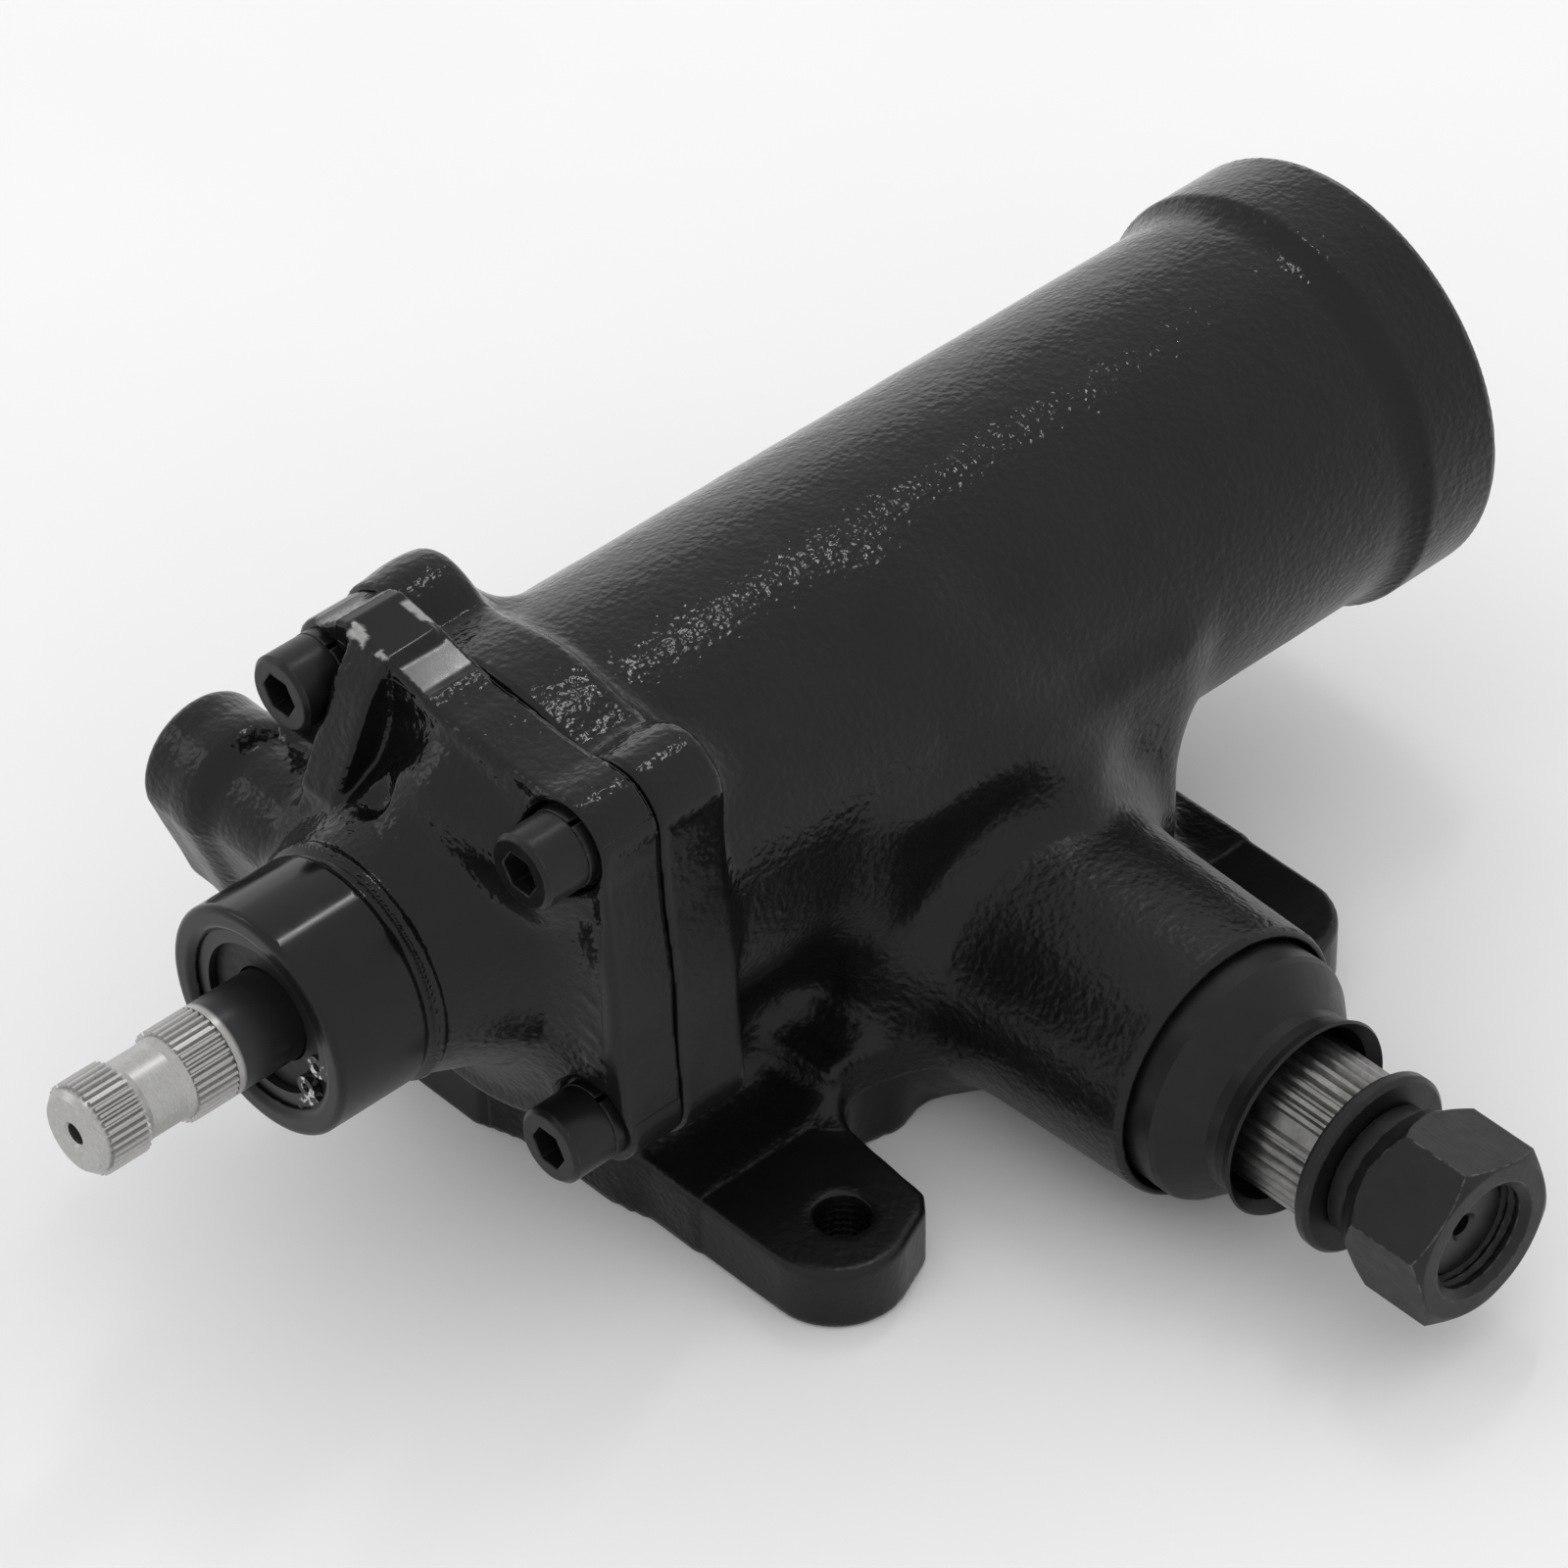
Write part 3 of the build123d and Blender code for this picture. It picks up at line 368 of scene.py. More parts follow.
def main_housing_skin(h):
    g = Grid((-80, -101.5, -1.5), (101.5, 132, 127), h)
    body = g.rev_y([(0, YJ + 0.05), (43.4, YJ + 0.05), (43.4, 105.0), (43.9, 107.3), (45.2, 109.7), (46.3, 111.0), (46.3, 129.3), (45.5, 130.1), (0, 130.1)])
    fl = g.cyl("y", 46.4, YJ - 4, YB - 1.0, 0, ZW, 1.1)
    for i, j, r in ((0, 3, 10.4), (1, 2, 10.6)):
        fl = smin(fl, g.ext(hull2(BZ[i], BZ[j], r), "y", YJ - 4, YB, 1.6), 3.0)
    for i in (0, 1):
        fl = smin(fl, g.ext(hull2(BZ[i], (BOLTS[i][0] * 0.5, ZW + BOLTS[i][1] * 0.86), 8.6), "y", YJ - 4, YB + 0.4, 1.6), 4.0)
    # the second lobe runs back along the cylinder and fades into it
    fl = smin(fl, g.capsule((BOLTS[1][0] - 2.5, YB - 8, ZW + BOLTS[1][1] - 3.0), (BOLTS[1][0] - 8.0, YB + 6.0, ZW + BOLTS[1][1] - 10.0), 10.2, 7.0), 4.0)
    fl = smin(fl, g.capsule((BOLTS[0][0], YB - 6, ZW + BOLTS[0][1]), (BOLTS[0][0] + 7.0, YB + 5.0, ZW + BOLTS[0][1] - 8.0), 9.6, 6.5), 5.0)
    body = smin(body, fl, 6.0)
    bulge = g.ext(arc(34.4, -32, 9, -90, 0, 6) + arc(34.4, 38.4, 9, 0, 90, 6) + arc(-34.4, 38.4, 9, 90, 180, 6) + arc(-34.4, -32, 9, 180, 270, 6), "z", 0.05, 77, 1.0)
    body = smin(body, bulge, 11.0)
    body = smin(body, g.box((-24, -88, 0.05), (24, -38, 62), 2.0), 10.0)
    # crown ridge over the sector boss
    body = smin(body, g.capsule((18, -14, ZW + 20), (40, 8, ZW - 14), 14.0, 12.0), 10.0)
    plates = [
        [(0, -88.3)] + arc(66.0, -73.0, 14.9, -88, 28) + [(76.0, -58.5), (72.5, -55.4), (53.0, -53.6), (0, -53)],
        [(0, 33), (40, 33)] + arc(62.5, 49.0, 14.5, -75, 88) + [(0, 63.5)],
        [(20, -88.6), (-4, -90.8), (-18, -97.2), (-32, -101.4)] + arc(-60.0, -86.0, 15.0, -91, -256) + [(-20, -56), (20, -56)],
        [(0, 76), (-40, 76)] + arc(-60.5, 61.0, 15.0, 91, 262) + [(-40, 46), (0, 40)]]
    ears = g.box((-43, -88, 0.05), (43, -53, 15), 1.0)
    ears = np.minimum(ears, g.box((-43, 40, 0.05), (43, 63, 15), 1.0))
    for p in plates:
        ears = smin(ears, g.ext(p, "z", 0.05, 15, 1.3), 2.0)
    body = smin(body, ears, 9.0)
    body = smin(body, g.box((-43.2, -52, 0.05), (43.2, -36, 24), 2.0), 11.0)
    body = smin(body, g.box((-43.2, 40, 0.05), (28, 54, 24), 2.0), 9.0)
    boss = g.rev_x([(20, 0), (20, 35.7), (43.5, 35.7), (46.0, 35.2), (48.6, 33.7), (51, 32.1), (55, 31.1), (60, 30.6), (98.0, 29.4), (99.2, 28.2), (99.2, 0)])
    body = smin(body, boss, 7.0)
    pad = g.ext(arc(-32, 12, 9, 180, 270, 6) + arc(32, 12, 9, 270, 360, 6) + arc(32, 58, 9, 0, 90, 6) + arc(-32, 58, 9, 90, 180, 6), "x", -45.9, -30, 1.0)
    body = smin(body, pad, 5.0)
    # machined planes cut the soft blends back
    body = np.maximum(body, -(g.z - 0.05) + 0 * body)
    body = np.maximum(body, (YJ + 0.05) - g.y + 0 * body)
    body = np.maximum(body, -(g.x + 45.95) + 0 * body) if False else body
    # hollows
    body = cut(body, g.rev_y([(0, -120), (36.1, -120), (36.1, 98.0), (38.1, 98.0), (38.1, 124.5), (39.7, 124.5), (39.7, 128.0), (38.6, 128.0), (39.2, 140), (0, 140)]))
    ch = np.maximum(g.cyl("x", 30.6, -34, 24, 0, ZS), (ZS - 4) - g.z + 0 * body)
    body = cut(body, ch)
    body = cut(body, g.cyl("x", 22.1, -34, 24, 0, ZS))
    body = cut(body, g.cyl("x", 26.7, -60, -30, 0, ZS + 6))
    body = cut(body, g.rev_x([(20, 0), (20, 19.1), (26, 19.1), (26, 21.7), (58, 21.7), (58, 19.6), (62, 19.6), (62, 24.2), (78, 24.2), (78, 25.6), (80.2, 25.6), (80.2, 24.2),
                              (84, 24.2), (84, 27.7), (110, 27.7), (110, 0)]), 0.8)
    for bx, bz in BOLTS:
        body = cut(body, g.cyl("y", 5.1, -110, YJ + 13.2, bx, ZW + bz))
    for by, bz in ((31.2, 24.0), (-31.2, 24.0), (-31.2, -12.0), (31.2, -12.0)):
        body = cut(body, g.cyl("x", 5.1, -60, -34.0, by, ZS + bz))
    for ex, ey in EARS:
        r = np.sqrt((g.x - ex) ** 2 + (g.y - ey) ** 2)
        groove = 5.55 + 0.38 * np.cos((g.z + 0 * r) * 2 * math.pi / 1.75) + 0.9 * np.clip(1 - np.abs(g.z + 0 * r - 15.3) / 1.2, 0, 1)
        body = cut(body, (r + 0 * g.z - groove).astype(np.float32) + 0 * body)
    return g, body


def valve_housing_skin(h):
    g = Grid((-65, -158.5, 27), (51, -72.5, 130.5), h)
    nose = g.rev_y([(0, -157.0), (23.4, -157.0), (24.2, -156.2), (24.2, -136.2), (23.3, -135.5), (23.3, -134.5), (24.9, -133.6), (25.2, -132.4), (24.6, -131.4), (25.3, -129.8), (26.6, -126), (29.4, -118.5), (32.0, -113.8), (35.5, -110.5),
                    (37.5, -108.6), (37.5, YJ - 0.05), (0, YJ - 0.05)])
    fl = g.cyl("y", 46.0, YF, YJ + 4, 0, ZW, 1.5)
    for i, j, r in ((0, 3, 9.7), (1, 2, 9.9)):
        fl = smin(fl, g.ext(hull2(BZ[i], BZ[j], r), "y", YF, YJ + 4, 1.4), 3.0)
    fl = smin(fl, g.ext(hull2((7, ZW + 35.5), BZ[1], 9.4), "y", YF, YJ + 4, 1.5), 3.0)
    # flat-topped pad between the first lobe and the crown, and the rib that carries it down to the body
    pad = g.ext([(-37, ZW + 45.4), (-29.5, ZW + 51.3), (-26.5, ZW + 52.2), (-16.5, ZW + 50.4), (-6, ZW + 47.6), (2, ZW + 45), (0, ZW + 30), (-30, ZW + 32)], "y", YF - 0.2, YJ + 4, 0.8)
    fl = smin(fl, pad, 1.6)
    body = smin(nose, fl, 5.0)
    # shoulder right of the rib, towards the second lobe
    body = smin(body, g.capsule((4, YF - 1, ZW + 30), (26, YF + 2, ZW + 26), 10.0, 10.0), 6.0)
    body = smin(body, g.capsule((-2, YF - 3.5, ZW + 27.5), (2, -120.5, ZW + 17.5), 7.0, 8.0), 4.0)
    rib = g.ext([(YJ - 2, ZW + 50.8), (YF - 0.6, ZW + 50.4), (-114.5, ZW + 43.4), (-123.8, ZW + 23.6), (-123.8, ZW + 12), (YJ - 2, ZW + 12)], "x", -25.0, -14.4, 1.2)
    body = smin(body, rib, 2.0)
    # small triangular pocket between the rib and the shoulder
    pk = g.capsule((-10.6, -112.4, ZW + 46.0), (-6.8, -120.8, ZW + 29.6), 1.2, 4.2)
    body = cut(body, pk, 1.4)
    # port boss
    P1, P2 = (-119.0, ZW + 5.0), (-114.5, ZW - 16.0)

    def ph(gr):
        return ([(P1[0] + (13.9 + gr) * math.cos(math.radians(a)), P1[1] + (13.9 + gr) * math.sin(math.radians(a))) for a in range(-8, 200, 8)]
                + [(P2[0] + (10.4 + gr) * math.cos(math.radians(a)), P2[1] + (10.4 + gr) * math.sin(math.radians(a))) for a in range(196, 350, 8)])
    port = g.ext(ph(0.2), "x", -62.6, -46.0, 2.8)
    port = smin(port, g.ext(ph(-1.8), "x", -52.0, -8.0, 2.0), 5.0)
    body = smin(body, port, 6.0)
    body = smin(body, g.box((-4, -126, ZW - 30), (4, -108, ZW - 20), 1.6), 4.0)
    # foundry figures and runs of paint low on the flange face
    for a, b, r in (((33.5, YF - 0.1, ZW + 16.0), (35.0, YF - 0.1, ZW + 6.5), 1.5), ((37.2, YF - 0.1, ZW + 3.5), (41.0, YF - 0.1, ZW + 1.6), 1.1), ((37.4, YF - 0.1, ZW + 3.4), (38.4, YF - 0.1, ZW - 2.2), 1.1),
                    ((38.0, YF - 0.1, ZW - 4.6), (41.8, YF - 0.1, ZW - 6.4), 1.1), ((38.4, YF - 0.1, ZW - 9.0), (42.0, YF - 0.1, ZW - 10.6), 1.1), ((38.8, YF - 0.1, ZW - 13.4), (42.0, YF - 0.1, ZW - 14.6), 1.1)):
        body = smin(body, g.capsule(a, b, r, r * 0.9), 1.0)
    body = np.maximum(body, g.y - (YJ - 0.05) + 0 * body)
    spig = g.rev_y([(0, YJ - 2), (35.85, YJ - 2), (35.85, -91.6), (33.4, -91.6), (33.4, -88.0), (35.85, -88.0), (35.85, -75.0), (34.9, -74.0), (0, -74.0)])
    body = np.minimum(body, spig)
    body = cut(body, g.rev_y([(0, -165), (20.4, -165), (20.0, -157.0), (18.7, -155.8), (18.7, -155.3), (19.9, -155.3), (19.9, -153.5), (18.7, -153.5), (18.7, -140.5), (14.1, -140.5),
                              (14.1, -128.5), (19.3, -128.5), (19.3, -93.0), (27.1, -93.0), (27.1, -60), (0, -60)]), 0.3)
    for bx, bz in BOLTS:
        body = cut(body, g.cyl("y", 5.5, -120, -90, bx, ZW + bz))
        body = cut(body, g.cyl("y", 9.0, -150, YF + 1.4, bx, ZW + bz, 0.3), 1.8)
    for (py, pz), pr, pd, ps in ((P1, 9.0, 10.0, 6.0), (P2, 7.0, 10.0, 5.2)):
        body = cut(body, g.cyl("x", pr + 0.1, -80, -62.6 + pd, py, pz), 0.5)
        body = cut(body, g.cyl("x", pr + 1.8, -80, -61.8, py, pz), 0.4)
        body = cut(body, g.cyl("x", ps + 0.1, -80, -62.6 + pd + 5.1, py, pz), 0.3)
    return g, body


def main_mask(co):
    """1 on the sand-cast skin, 0 on machined faces."""
    x, y, z = co[:, 0], co[:, 1], co[:, 2]
    m = np.ones(len(co))
    r = np.hypot(y, z - ZS)
    m[(x > 97.8) & (r < 31)] = 0
    rr = np.hypot(x, z - ZW)
    m[(y < YJ + 1.0)] = 0
    m[(rr < 41.5) & (y > YJ)] = 0
    m[(y > 128.9)] = 0.1
    m[(x < -45)] = 0
    m[z < 0.8] = 0
    for ex, ey in EARS:
        m[np.hypot(x - ex, y - ey) < 7.2] = 0
    # the side face of the flange and the ear edges are smoother
    m[(x > 43.0) & (y < YB + 1) & (z > 25)] *= 0.25
    m[(z < 15.4) & (np.abs(x) > 44)] *= 0.3
    return m


def valve_mask(co):
    x, y, z = co[:, 0], co[:, 1], co[:, 2]
    m = np.ones(len(co))
    rr = np.hypot(x, z - ZW)
    m[(y < -133.6) & (rr < 26)] = 0
    m[(y > YJ - 0.8)] = 0
    m[(x < -62.0)] = 0
    m[(x > 43.0)] *= 0.25
    m[(z > ZW + 47.2) & (x < -4) & (x > -29) & (y > YF - 0.6)] = 0
    for bx, bz in BOLTS:
        m[(np.hypot(x - bx, z - ZW - bz) < 10.3) & (y > YF - 1.0)] = 0
    m[(rr < 23)] = 0
    return m


def noise3(co, scale, seed):
    """Smooth value noise of about the given wavelength in mm."""
    rng = np.random.default_rng(seed)
    n = 64
    tab = rng.random((n, n, n)).astype(np.float32) * 2 - 1
    p = co / scale + 1000.0
    i = np.floor(p).astype(np.int64)
    f = p - i
    f = f * f * (3 - 2 * f)
    out = np.zeros(len(co))
    for a in (0, 1):
        for b in (0, 1):
            for c in (0, 1):
                w = (f[:, 0] if a else 1 - f[:, 0]) * (f[:, 1] if b else 1 - f[:, 1]) * (f[:, 2] if c else 1 - f[:, 2])
                out += w * tab[(i[:, 0] + a) % n, (i[:, 1] + b) % n, (i[:, 2] + c) % n]
    return out


def build_skin(name, fn, maskfn, h, rough):
    g, d = fn(h)
    co, quads = surface_nets(g, d, name)
    m = maskfn(co)
    # gentle sand-cast waviness, along the surface normal
    gx, gy, gz = np.gradient(d, g.h)
    ii = np.clip(np.round((co - g.lo) / g.h).astype(int), 0, np.array(d.shape) - 1)
    nrm = np.stack([a[ii[:, 0], ii[:, 1], ii[:, 2]] for a in (gx, gy, gz)], 1)
    nrm /= np.maximum(np.linalg.norm(nrm, axis=1), 1e-6)[:, None]
    amp = rough * m
    co = co + nrm * (amp * (0.08 * noise3(co, 9.0, 3) + 0.04 * noise3(co, 3.4, 4)))[:, None]
    o = mesh_from(name, co, quads)
    at = o.data.attributes.new("cast", "FLOAT", "POINT")
    if len(o.data.vertices) == len(m):
        at.data.foreach_set("value", m.astype(np.float32))
    return o


# ------------------------------------------------------------------ materials


class NT:
    def __init__(self, name):
        self.m = bpy.data.materials.new(name)
        self.m.use_nodes = True
        self.t = self.m.node_tree
        self.t.nodes.clear()
        self.out = self.n("ShaderNodeOutputMaterial")
        self.b = self.n("ShaderNodeBsdfPrincipled")
        self.l(self.b.outputs[0], self.out.inputs[0])
        self.tc = self.n("ShaderNodeTexCoord")

    def n(self, kind, **kw):
        x = self.t.nodes.new(kind)
        for k, v in kw.items():
            setattr(x, k, v)
        return x

    def l(self, a, b):
        self.t.links.new(a, b)

    def noise(self, scale, detail=3.0, rough=0.5, dist=0.0, vec=None, stretch=None):
        x = self.n("ShaderNodeTexNoise")
        x.inputs["Scale"].default_value = scale
        x.inputs["Detail"].default_value = detail
        x.inputs["Roughness"].default_value = rough
        x.inputs["Distortion"].default_value = dist
        src = self.tc.outputs["Object"] if vec is None else vec
        if stretch is not None:
            mp = self.n("ShaderNodeMapping")
            mp.inputs["Scale"].default_value = stretch
            self.l(src, mp.inputs["Vector"])
            src = mp.outputs[0]
        self.l(src, x.inputs["Vector"])
        return x.outputs["Fac"]

    def ramp(self, fac, a, b, lo=0.0, hi=1.0):
        x = self.n("ShaderNodeMapRange")
        x.inputs["From Min"].default_value = a
        x.inputs["From Max"].default_value = b
        x.inputs["To Min"].default_value = lo
        x.inputs["To Max"].default_value = hi
        self.l(fac, x.inputs["Value"])
        return x.outputs[0]

    def math(self, op, a, b):
        x = self.n("ShaderNodeMath", operation=op)
        for i, v in enumerate((a, b)):
            if isinstance(v, (int, float)):
                x.inputs[i].default_value = v
            else:
                self.l(v, x.inputs[i])
        return x.outputs[0]

    def mix(self, fac, a, b):
        x = self.n("ShaderNodeMix", data_type="RGBA")
        if isinstance(fac, (int, float)):
            x.inputs[0].default_value = fac
        else:
            self.l(fac, x.inputs[0])
        for i, v in ((6, a), (7, b)):
            if isinstance(v, tuple):
                x.inputs[i].default_value = (*v, 1)
            else:
                self.l(v, x.inputs[i])
        return x.outputs[2]

    def attr(self, name):
        x = self.n("ShaderNodeAttribute", attribute_name=name)
        return x.outputs["Fac"]

    def bump(self, height, strength, dist, normal=None):
        x = self.n("ShaderNodeBump")
        x.inputs["Strength"].default_value = strength
        x.inputs["Distance"].default_value = dist
        self.l(height, x.inputs["Height"])
        if normal is not None:
            self.l(normal, x.inputs["Normal"])
        return x.outputs[0]

    def finish(self, col=None, rough=None, metal=None, normal=None, **consts):
        for v, k in ((col, "Base Color"), (rough, "Roughness"), (metal, "Metallic"), (normal, "Normal")):
            if v is None:
                continue
            if isinstance(v, tuple):
                self.b.inputs[k].default_value = (*v, 1)
            elif isinstance(v, (int, float)):
                self.b.inputs[k].default_value = v
            else:
                self.l(v, self.b.inputs[k])
        for k, v in consts.items():
            self.b.inputs[k.replace("_", " ")].default_value = v
        return self.m


def edge_wear(t, radius, lo, hi):
    """0 on flat ground, 1 on sharp outer edges, from the bevelled normal."""
    bv = t.n("ShaderNodeBevel", samples=6)
    bv.inputs["Radius"].default_value = radius
    ge = t.n("ShaderNodeNewGeometry")
    dt = t.n("ShaderNodeVectorMath", operation="DOT_PRODUCT")
    t.l(bv.outputs[0], dt.inputs[0])
    t.l(ge.outputs["Normal"], dt.inputs[1])
    return t.ramp(dt.outputs["Value"], lo, hi, 1.0, 0.0), bv.outputs[0]


def paint_cast():
    t = NT("paint_cast")
    m = t.attr("cast")
    chip = t.attr("chip")
    pebble = t.noise(690.0, 1.0, 0.35)
    big = t.noise(170.0, 1.0, 0.5)
    h = t.math("ADD", pebble, t.math("MULTIPLY", big, 0.6))
    h = t.math("MULTIPLY", h, m)
    h = t.math("SUBTRACT", h, t.math("MULTIPLY", chip, 0.35))
    nrm = t.bump(h, 1.0, 0.00023)
    tone = t.noise(60.0, 3.0, 0.6)
    col = t.mix(t.ramp(tone, 0.3, 0.7), (0.0034, 0.0035, 0.0038), (0.0060, 0.0061, 0.0064))
    bare = t.mix(t.noise(900.0, 2.0, 0.5), (0.20, 0.20, 0.195), (0.42, 0.42, 0.41))
    col = t.mix(chip, col, bare)
    sx = t.n("ShaderNodeSeparateXYZ")
    t.l(t.tc.outputs["Object"], sx.inputs[0])
    # the wetter coat on the upward skin, the duller one low down
    rough = t.math("ADD", t.ramp(sx.outputs[2], 0.078, 0.100, 0.285, 0.105), t.ramp(t.noise(210.0, 3.0, 0.6), 0.3, 0.7, 0.0, 0.06))
    rough = t.math("ADD", rough, t.math("MULTIPLY", chip, 0.2))
    metal = t.math("MULTIPLY", chip, 0.5)
    return t.finish(col, rough, metal, nrm, Specular_IOR_Level=0.27)


def satin_black(name, a, b, r0, r1, bump=0.12, wear=0.0, lines=None):
    t = NT(name)
    tone = t.noise(140.0, 4.0, 0.6)
    fine = t.noise(2400.0, 3.0, 0.55)
    orange = t.noise(520.0, 2.0, 0.5)
    col = t.mix(t.ramp(tone, 0.3, 0.7), (a, a, a * 1.04), (b, b, b * 1.03))
    h = t.math("ADD", t.math("MULTIPLY", fine, 0.4), t.math("MULTIPLY", orange, 0.6))
    if lines is not None:
        ln = t.noise(1.0, 2.0, 0.5, stretch=lines)
        h = t.math("ADD", h, t.math("MULTIPLY", ln, 0.8))
    metal = 0.0
    base = None
    if wear > 0:
        w, base = edge_wear(t, 0.0007, 0.80, 0.99)
        w = t.math("MULTIPLY", w, t.ramp(t.noise(420.0, 3.0, 0.65), 0.42, 0.62, 0.0, wear))
        col = t.mix(w, col, (0.30, 0.30, 0.30))
        metal = t.math("MULTIPLY", w, 0.7)
    rough = t.ramp(t.noise(300.0, 4.0, 0.6), 0.3, 0.7, r0, r1)
    nrm = t.bump(h, bump, 0.0002, base)
    return t.finish(col, rough, metal, nrm, Specular_IOR_Level=0.28)


def steel(name, a, b, r0, r1, stretch, bump=0.25, tint=(1.0, 0.99, 0.97), aniso=0.0):
    t = NT(name)
    lines = t.noise(1.0, 3.0, 0.6, stretch=stretch)
    spots = t.noise(330.0, 4.0, 0.65)
    mixf = t.math("MULTIPLY", t.ramp(lines, 0.3, 0.7), t.ramp(spots, 0.25, 0.75, 0.5, 1.0))
    col = t.mix(mixf, tuple(a * c for c in tint), tuple(b * c for c in tint))
    rough = t.ramp(lines, 0.25, 0.75, r0, r1)
    nrm = t.bump(t.math("ADD", lines, t.math("MULTIPLY", spots, 0.3)), bump, 0.00006)
    return t.finish(col, rough, 1.0, nrm, Anisotropic=aniso)


def rubber(name, a, b, r0, r1):
    t = NT(name)
    fine = t.noise(1800.0, 3.0, 0.6)
    col = t.mix(t.ramp(t.noise(200.0, 3.0, 0.6), 0.3, 0.7), (a, a, a * 1.02), (b, b, b * 1.02))
    rough = t.ramp(t.noise(500.0, 3.0, 0.6), 0.3, 0.7, r0, r1)
    return t.finish(col, rough, 0.0, t.bump(fine, 0.2, 0.00012), Specular_IOR_Level=0.28)


MATS = {
    "housing_black": satin_black("paint_smooth", 0.004, 0.0065, 0.22, 0.32, 0.10),
    "screw_black": satin_black("black_oxide", 0.005, 0.009, 0.28, 0.40, 0.10, wear=0.2),
    "nut_black": satin_black("nut_black", 0.006, 0.011, 0.32, 0.46, 0.16, wear=0.7, lines=(40.0, 1500.0, 1500.0)),
    "rubber_black": rubber("rubber_black", 0.005, 0.009, 0.42, 0.55),
    "rubber_seal_painted": satin_black("seal_painted", 0.0045, 0.0075, 0.34, 0.46, 0.10),
    "bright_steel": steel("bright_steel", 0.25, 0.36, 0.29, 0.42, (900.0, 3800.0, 900.0), 0.22),
    "machined_steel": steel("machined_steel", 0.17, 0.28, 0.30, 0.44, (500.0, 2600.0, 500.0), 0.2),
    "dark_steel": steel("dark_steel", 0.15, 0.30, 0.34, 0.48, (900.0, 900.0, 900.0), 0.3),
    "bearing_steel": steel("bearing_steel", 0.50, 0.62, 0.14, 0.24, (700.0, 2400.0, 700.0), 0.1),
    "spring_steel": steel("spring_steel", 0.10, 0.18, 0.30, 0.42, (600.0, 600.0, 600.0), 0.2),
    "brass_seat": steel("brass_seat", 0.62, 0.78, 0.24, 0.36, (2600.0, 500.0, 500.0), 0.2, (1.0, 0.80, 0.42)),
    "ptfe_grey": rubber("ptfe_grey", 0.25, 0.33, 0.35, 0.45),
    "gasket_grey": rubber("gasket_grey", 0.10, 0.16, 0.7, 0.85),
}
CAST = paint_cast()


def stub_steel():
    """Bright serrated end; the plain neck behind the circlip is blackened."""
    t = NT("stub_steel")
    lines = t.noise(1.0, 3.0, 0.6, stretch=(900.0, 3800.0, 900.0))
    spots = t.noise(330.0, 4.0, 0.65)
    mixf = t.math("MULTIPLY", t.ramp(lines, 0.3, 0.7), t.ramp(spots, 0.25, 0.75, 0.5, 1.0))
    col = t.mix(mixf, (0.36, 0.357, 0.35), (0.52, 0.515, 0.505))
    sx = t.n("ShaderNodeSeparateXYZ")
    t.l(t.tc.outputs["Object"], sx.inputs[0])
    dark = t.ramp(sx.outputs[1], -0.1678, -0.1670)
    col = t.mix(dark, col, (0.010, 0.010, 0.011))
    metal = t.math("SUBTRACT", 1.0, dark)
    nrm = t.bump(t.math("ADD", lines, t.math("MULTIPLY", spots, 0.3)), 0.22, 0.00006)
    return t.finish(col, t.ramp(lines, 0.25, 0.75, 0.29, 0.42), metal, nrm)


def sector_steel():
    """Ground steel serration; the thread and the end face are black like the nut."""
    t = NT("sector_steel")
    grime = t.noise(260.0, 4.0, 0.65)
    col = t.mix(t.ramp(grime, 0.3, 0.7), (0.16, 0.159, 0.155), (0.30, 0.297, 0.29))
    sx = t.n("ShaderNodeSeparateXYZ")
    t.l(t.tc.outputs["Object"], sx.inputs[0])
    dark = t.ramp(sx.outputs[0], 0.1335, 0.1345)
    col = t.mix(dark, col, (0.008, 0.008, 0.009))
    fine = t.noise(1.0, 2.0, 0.5, stretch=(300.0, 2600.0, 2600.0))
    return t.finish(col, t.ramp(grime, 0.3, 0.7, 0.30, 0.42), t.math("SUBTRACT", 1.0, dark), t.bump(fine, 0.08, 0.00005))


def ring_black():
    """Blackened circlip, rubbed bare at its lugs."""
    t = NT("ring_black")
    w = t.ramp(t.noise(700.0, 2.0, 0.5), 0.50, 0.56)
    sx = t.n("ShaderNodeSeparateXYZ")
    t.l(t.tc.outputs["Object"], sx.inputs[0])
    w = t.math("MULTIPLY", w, t.math("MULTIPLY", t.ramp(sx.outputs[0], 0.0085, 0.0100), t.ramp(sx.outputs[2], 0.0760, 0.0735)))
    col = t.mix(w, (0.010, 0.010, 0.011), (0.55, 0.55, 0.54))
    return t.finish(col, 0.32, w, t.bump(t.noise(900.0, 2.0, 0.5), 0.1, 0.0001), Specular_IOR_Level=0.3)


STUB = stub_steel()
OWN = {"stub_shaft": STUB, "sector_shaft": sector_steel(), "input_retaining_ring": ring_black()}

SLOT_OF = {s["node"]: s["material_slot"] for s in frame["record"]["subparts"]}


def dress(o, mat):
    o.data.materials.clear()
    o.data.materials.append(mat)


for name, o in NODES.items():
    mat = OWN.get(name) or MATS[SLOT_OF[name]]
    if len(o.material_slots) == 0:
        continue
    for s in o.material_slots:
        s.material = mat

# ------------------------------------------------------------------ castings
H_MAIN = 1.3 if QUICK else 0.85
H_VALVE = 1.0 if QUICK else 0.5

main = build_skin("main_casting", main_housing_skin, main_mask, H_MAIN, 1.0)
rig.ride(main, "housing")
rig.replaces(main, "main_housing")
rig.slot(main, "housing_black")
valve = build_skin("valve_casting", valve_housing_skin, valve_mask, H_VALVE, 0.8)
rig.ride(valve, "housing")
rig.replaces(valve, "valve_housing")
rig.slot(valve, "housing_black")


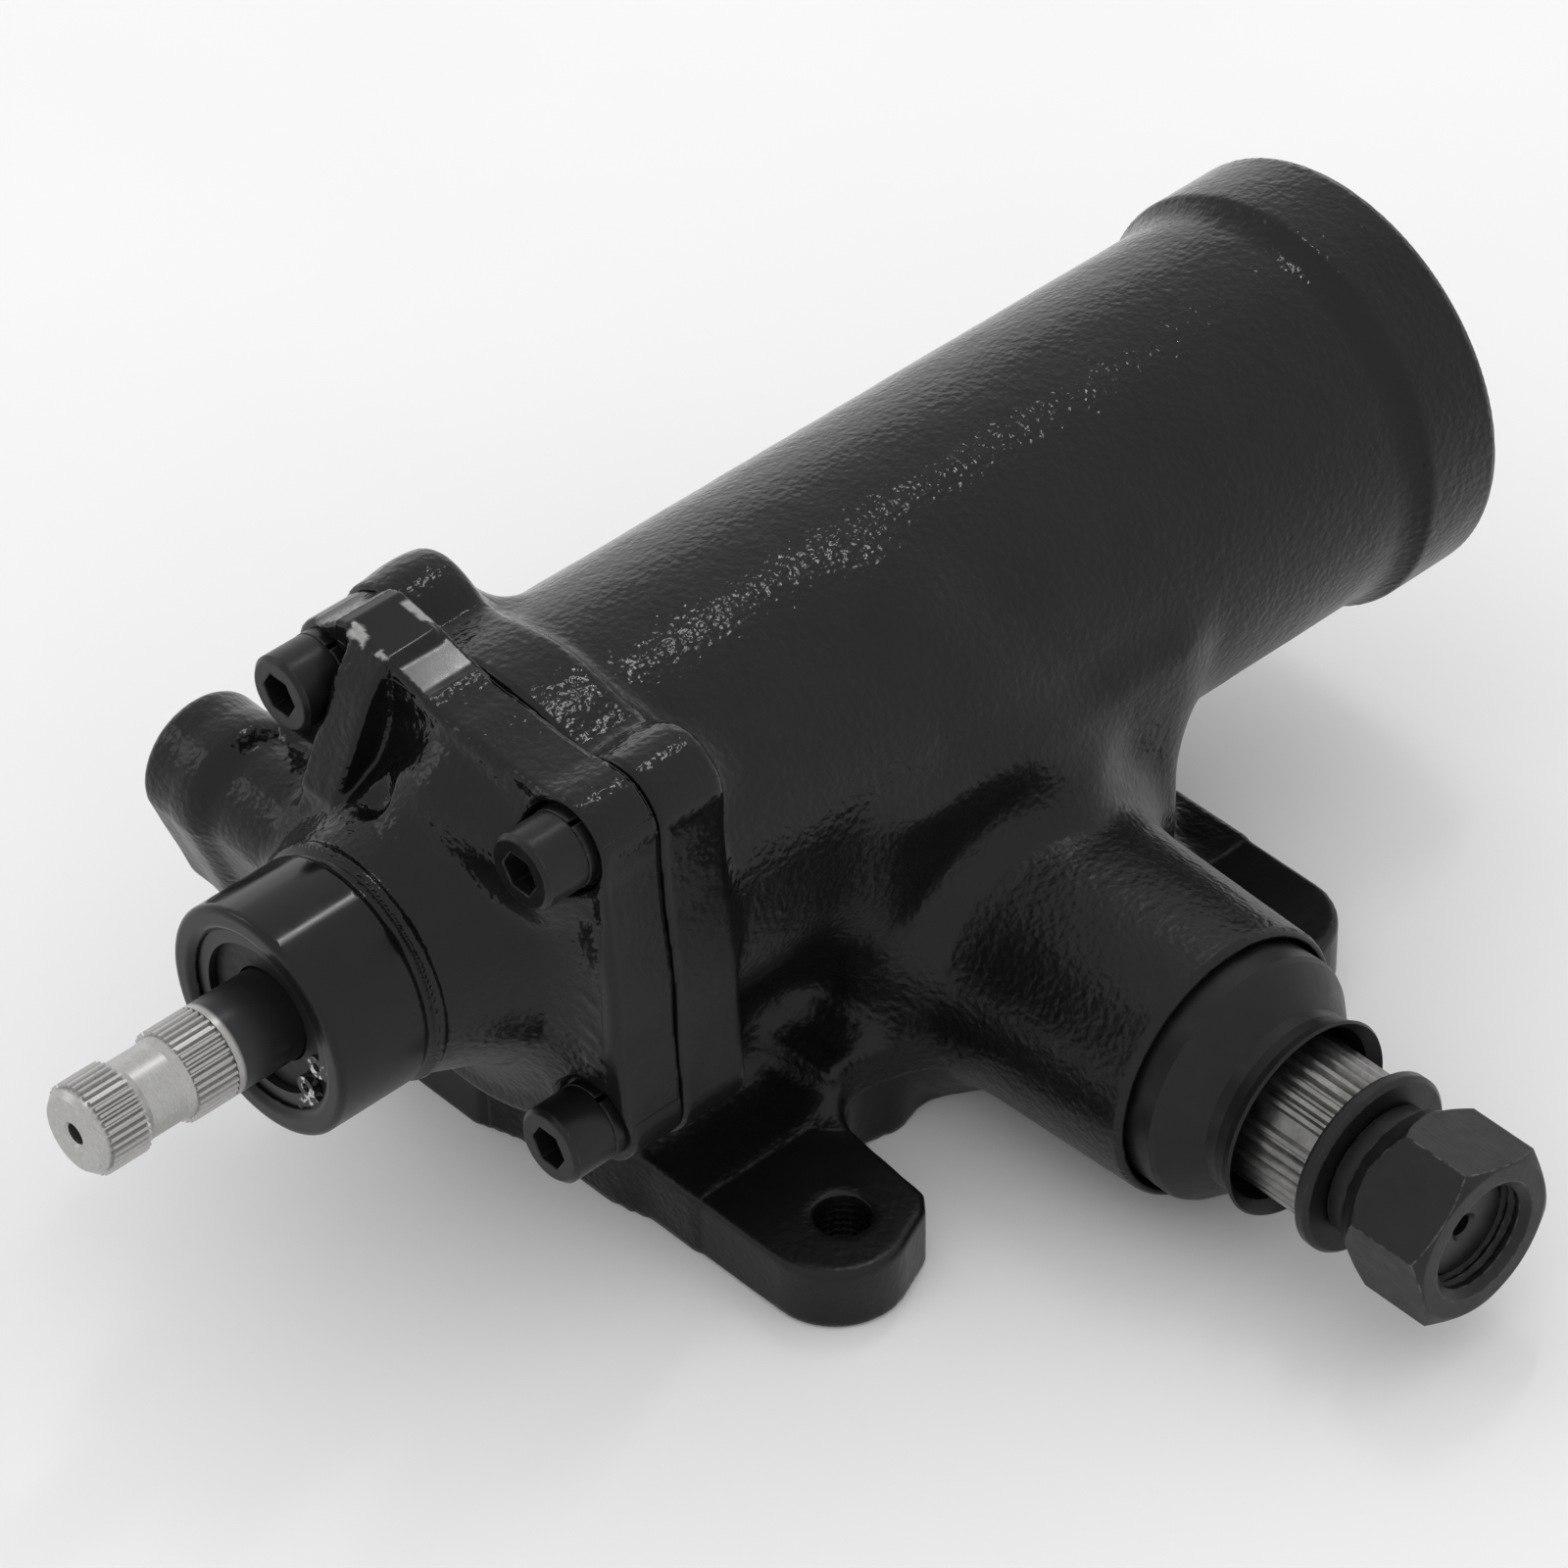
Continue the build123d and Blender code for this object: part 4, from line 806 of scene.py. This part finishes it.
def chips(o, spots):
    """Bare-metal chips: (centre, half sizes, jag) boxes with ragged borders, written per vertex."""
    n = len(o.data.vertices)
    co = np.empty(n * 3, np.float32)
    o.data.vertices.foreach_get("co", co)
    co = co.reshape(-1, 3) / MM
    w = np.zeros(n, np.float32)
    jag = 0.55 * noise3(co, 1.6, 11)
    for (cx, cy, cz), (hx, hy, hz) in spots:
        d = np.maximum(np.maximum(np.abs(co[:, 0] - cx) / hx, np.abs(co[:, 1] - cy) / hy), np.abs(co[:, 2] - cz) / hz)
        w = np.maximum(w, np.clip((1.0 + jag - d) * 6.0, 0, 1))
    at = o.data.attributes.new("chip", "FLOAT", "POINT")
    at.data.foreach_set("value", w)


chips(main, [])
chips(valve, [((-23.8, -108.4, ZW + 51.9), (2.6, 1.3, 2.2)), ((-16.2, -109.0, ZW + 50.2), (1.3, 0.9, 1.5)), ((-21.0, -96.6, ZW + 51.6), (3.2, 1.0, 1.8))])
for o in (main, valve):
    dress(o, CAST)

# ------------------------------------------------------------------ stage, light, camera
floor_me = bpy.data.meshes.new("floor")
floor_me.from_pydata([(-3, -3, 0), (3, -3, 0), (3, 3, 0), (-3, 3, 0)], [], [(0, 1, 2, 3)])
floor = bpy.data.objects.new("floor", floor_me)
bpy.context.scene.collection.objects.link(floor)
ft = NT("floor_white")
fcol = ft.mix(ft.ramp(ft.noise(8.0, 2.0), 0.3, 0.7), (0.93, 0.93, 0.93), (0.95, 0.95, 0.95))
dress(floor, ft.finish(fcol, 0.9, 0.0, None))
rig.stage(floor)

world = bpy.data.worlds.new("world")
bpy.context.scene.world = world
world.use_nodes = True
bg = world.node_tree.nodes["Background"]
bg.inputs[0].default_value = (1, 1, 1, 1)
bg.inputs[1].default_value = 0.92

CAM_RIGHT = Vector((0.683895, 0.729461, -0.013211))
CAM_UP = Vector((-0.469888, 0.454245, 0.75688))
CAM_BACK = Vector((0.558115, -0.511418, 0.653421))
cam_data = bpy.data.cameras.new("camera")
cam_data.sensor_width = 36.0
cam_data.lens = 168.75
cam_data.clip_end = 20.0
cam = bpy.data.objects.new("camera", cam_data)
bpy.context.scene.collection.objects.link(cam)
M = Matrix((
    (CAM_RIGHT.x, CAM_UP.x, CAM_BACK.x, 0.803714),
    (CAM_RIGHT.y, CAM_UP.y, CAM_BACK.y, -0.760175),
    (CAM_RIGHT.z, CAM_UP.z, CAM_BACK.z, 0.995266),
    (0, 0, 0, 1)))
cam.matrix_world = M
bpy.context.scene.camera = cam


def area(name, pos, target, sx, sy, power, color=(1, 1, 1)):
    d = bpy.data.lights.new(name, "AREA")
    d.shape = "RECTANGLE"
    d.size, d.size_y = sx, sy
    d.energy = power
    d.color = color
    o = bpy.data.objects.new(name, d)
    bpy.context.scene.collection.objects.link(o)
    p, q = Vector(pos), Vector(target)
    o.location = p
    o.rotation_euler = (q - p).to_track_quat("-Z", "Y").to_euler()
    return o


C = (0.02, -0.01, 0.06)
area("strip", (-0.20, 0.42, 1.15), C, 0.02, 0.30, 0.8)
area("back", (-1.5, 1.0, 0.45), C, 2.0, 0.8, 1.5)
area("left", (-1.2, -0.9, 0.9), C, 0.5, 0.8, 1.5)

bpy.context.scene.view_settings.view_transform = "Standard"
bpy.context.scene.view_settings.look = "None"

size_after = bounds_now()
with open("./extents.json", "w") as f:
    json.dump({"cad": size_before, "visual": size_after}, f)
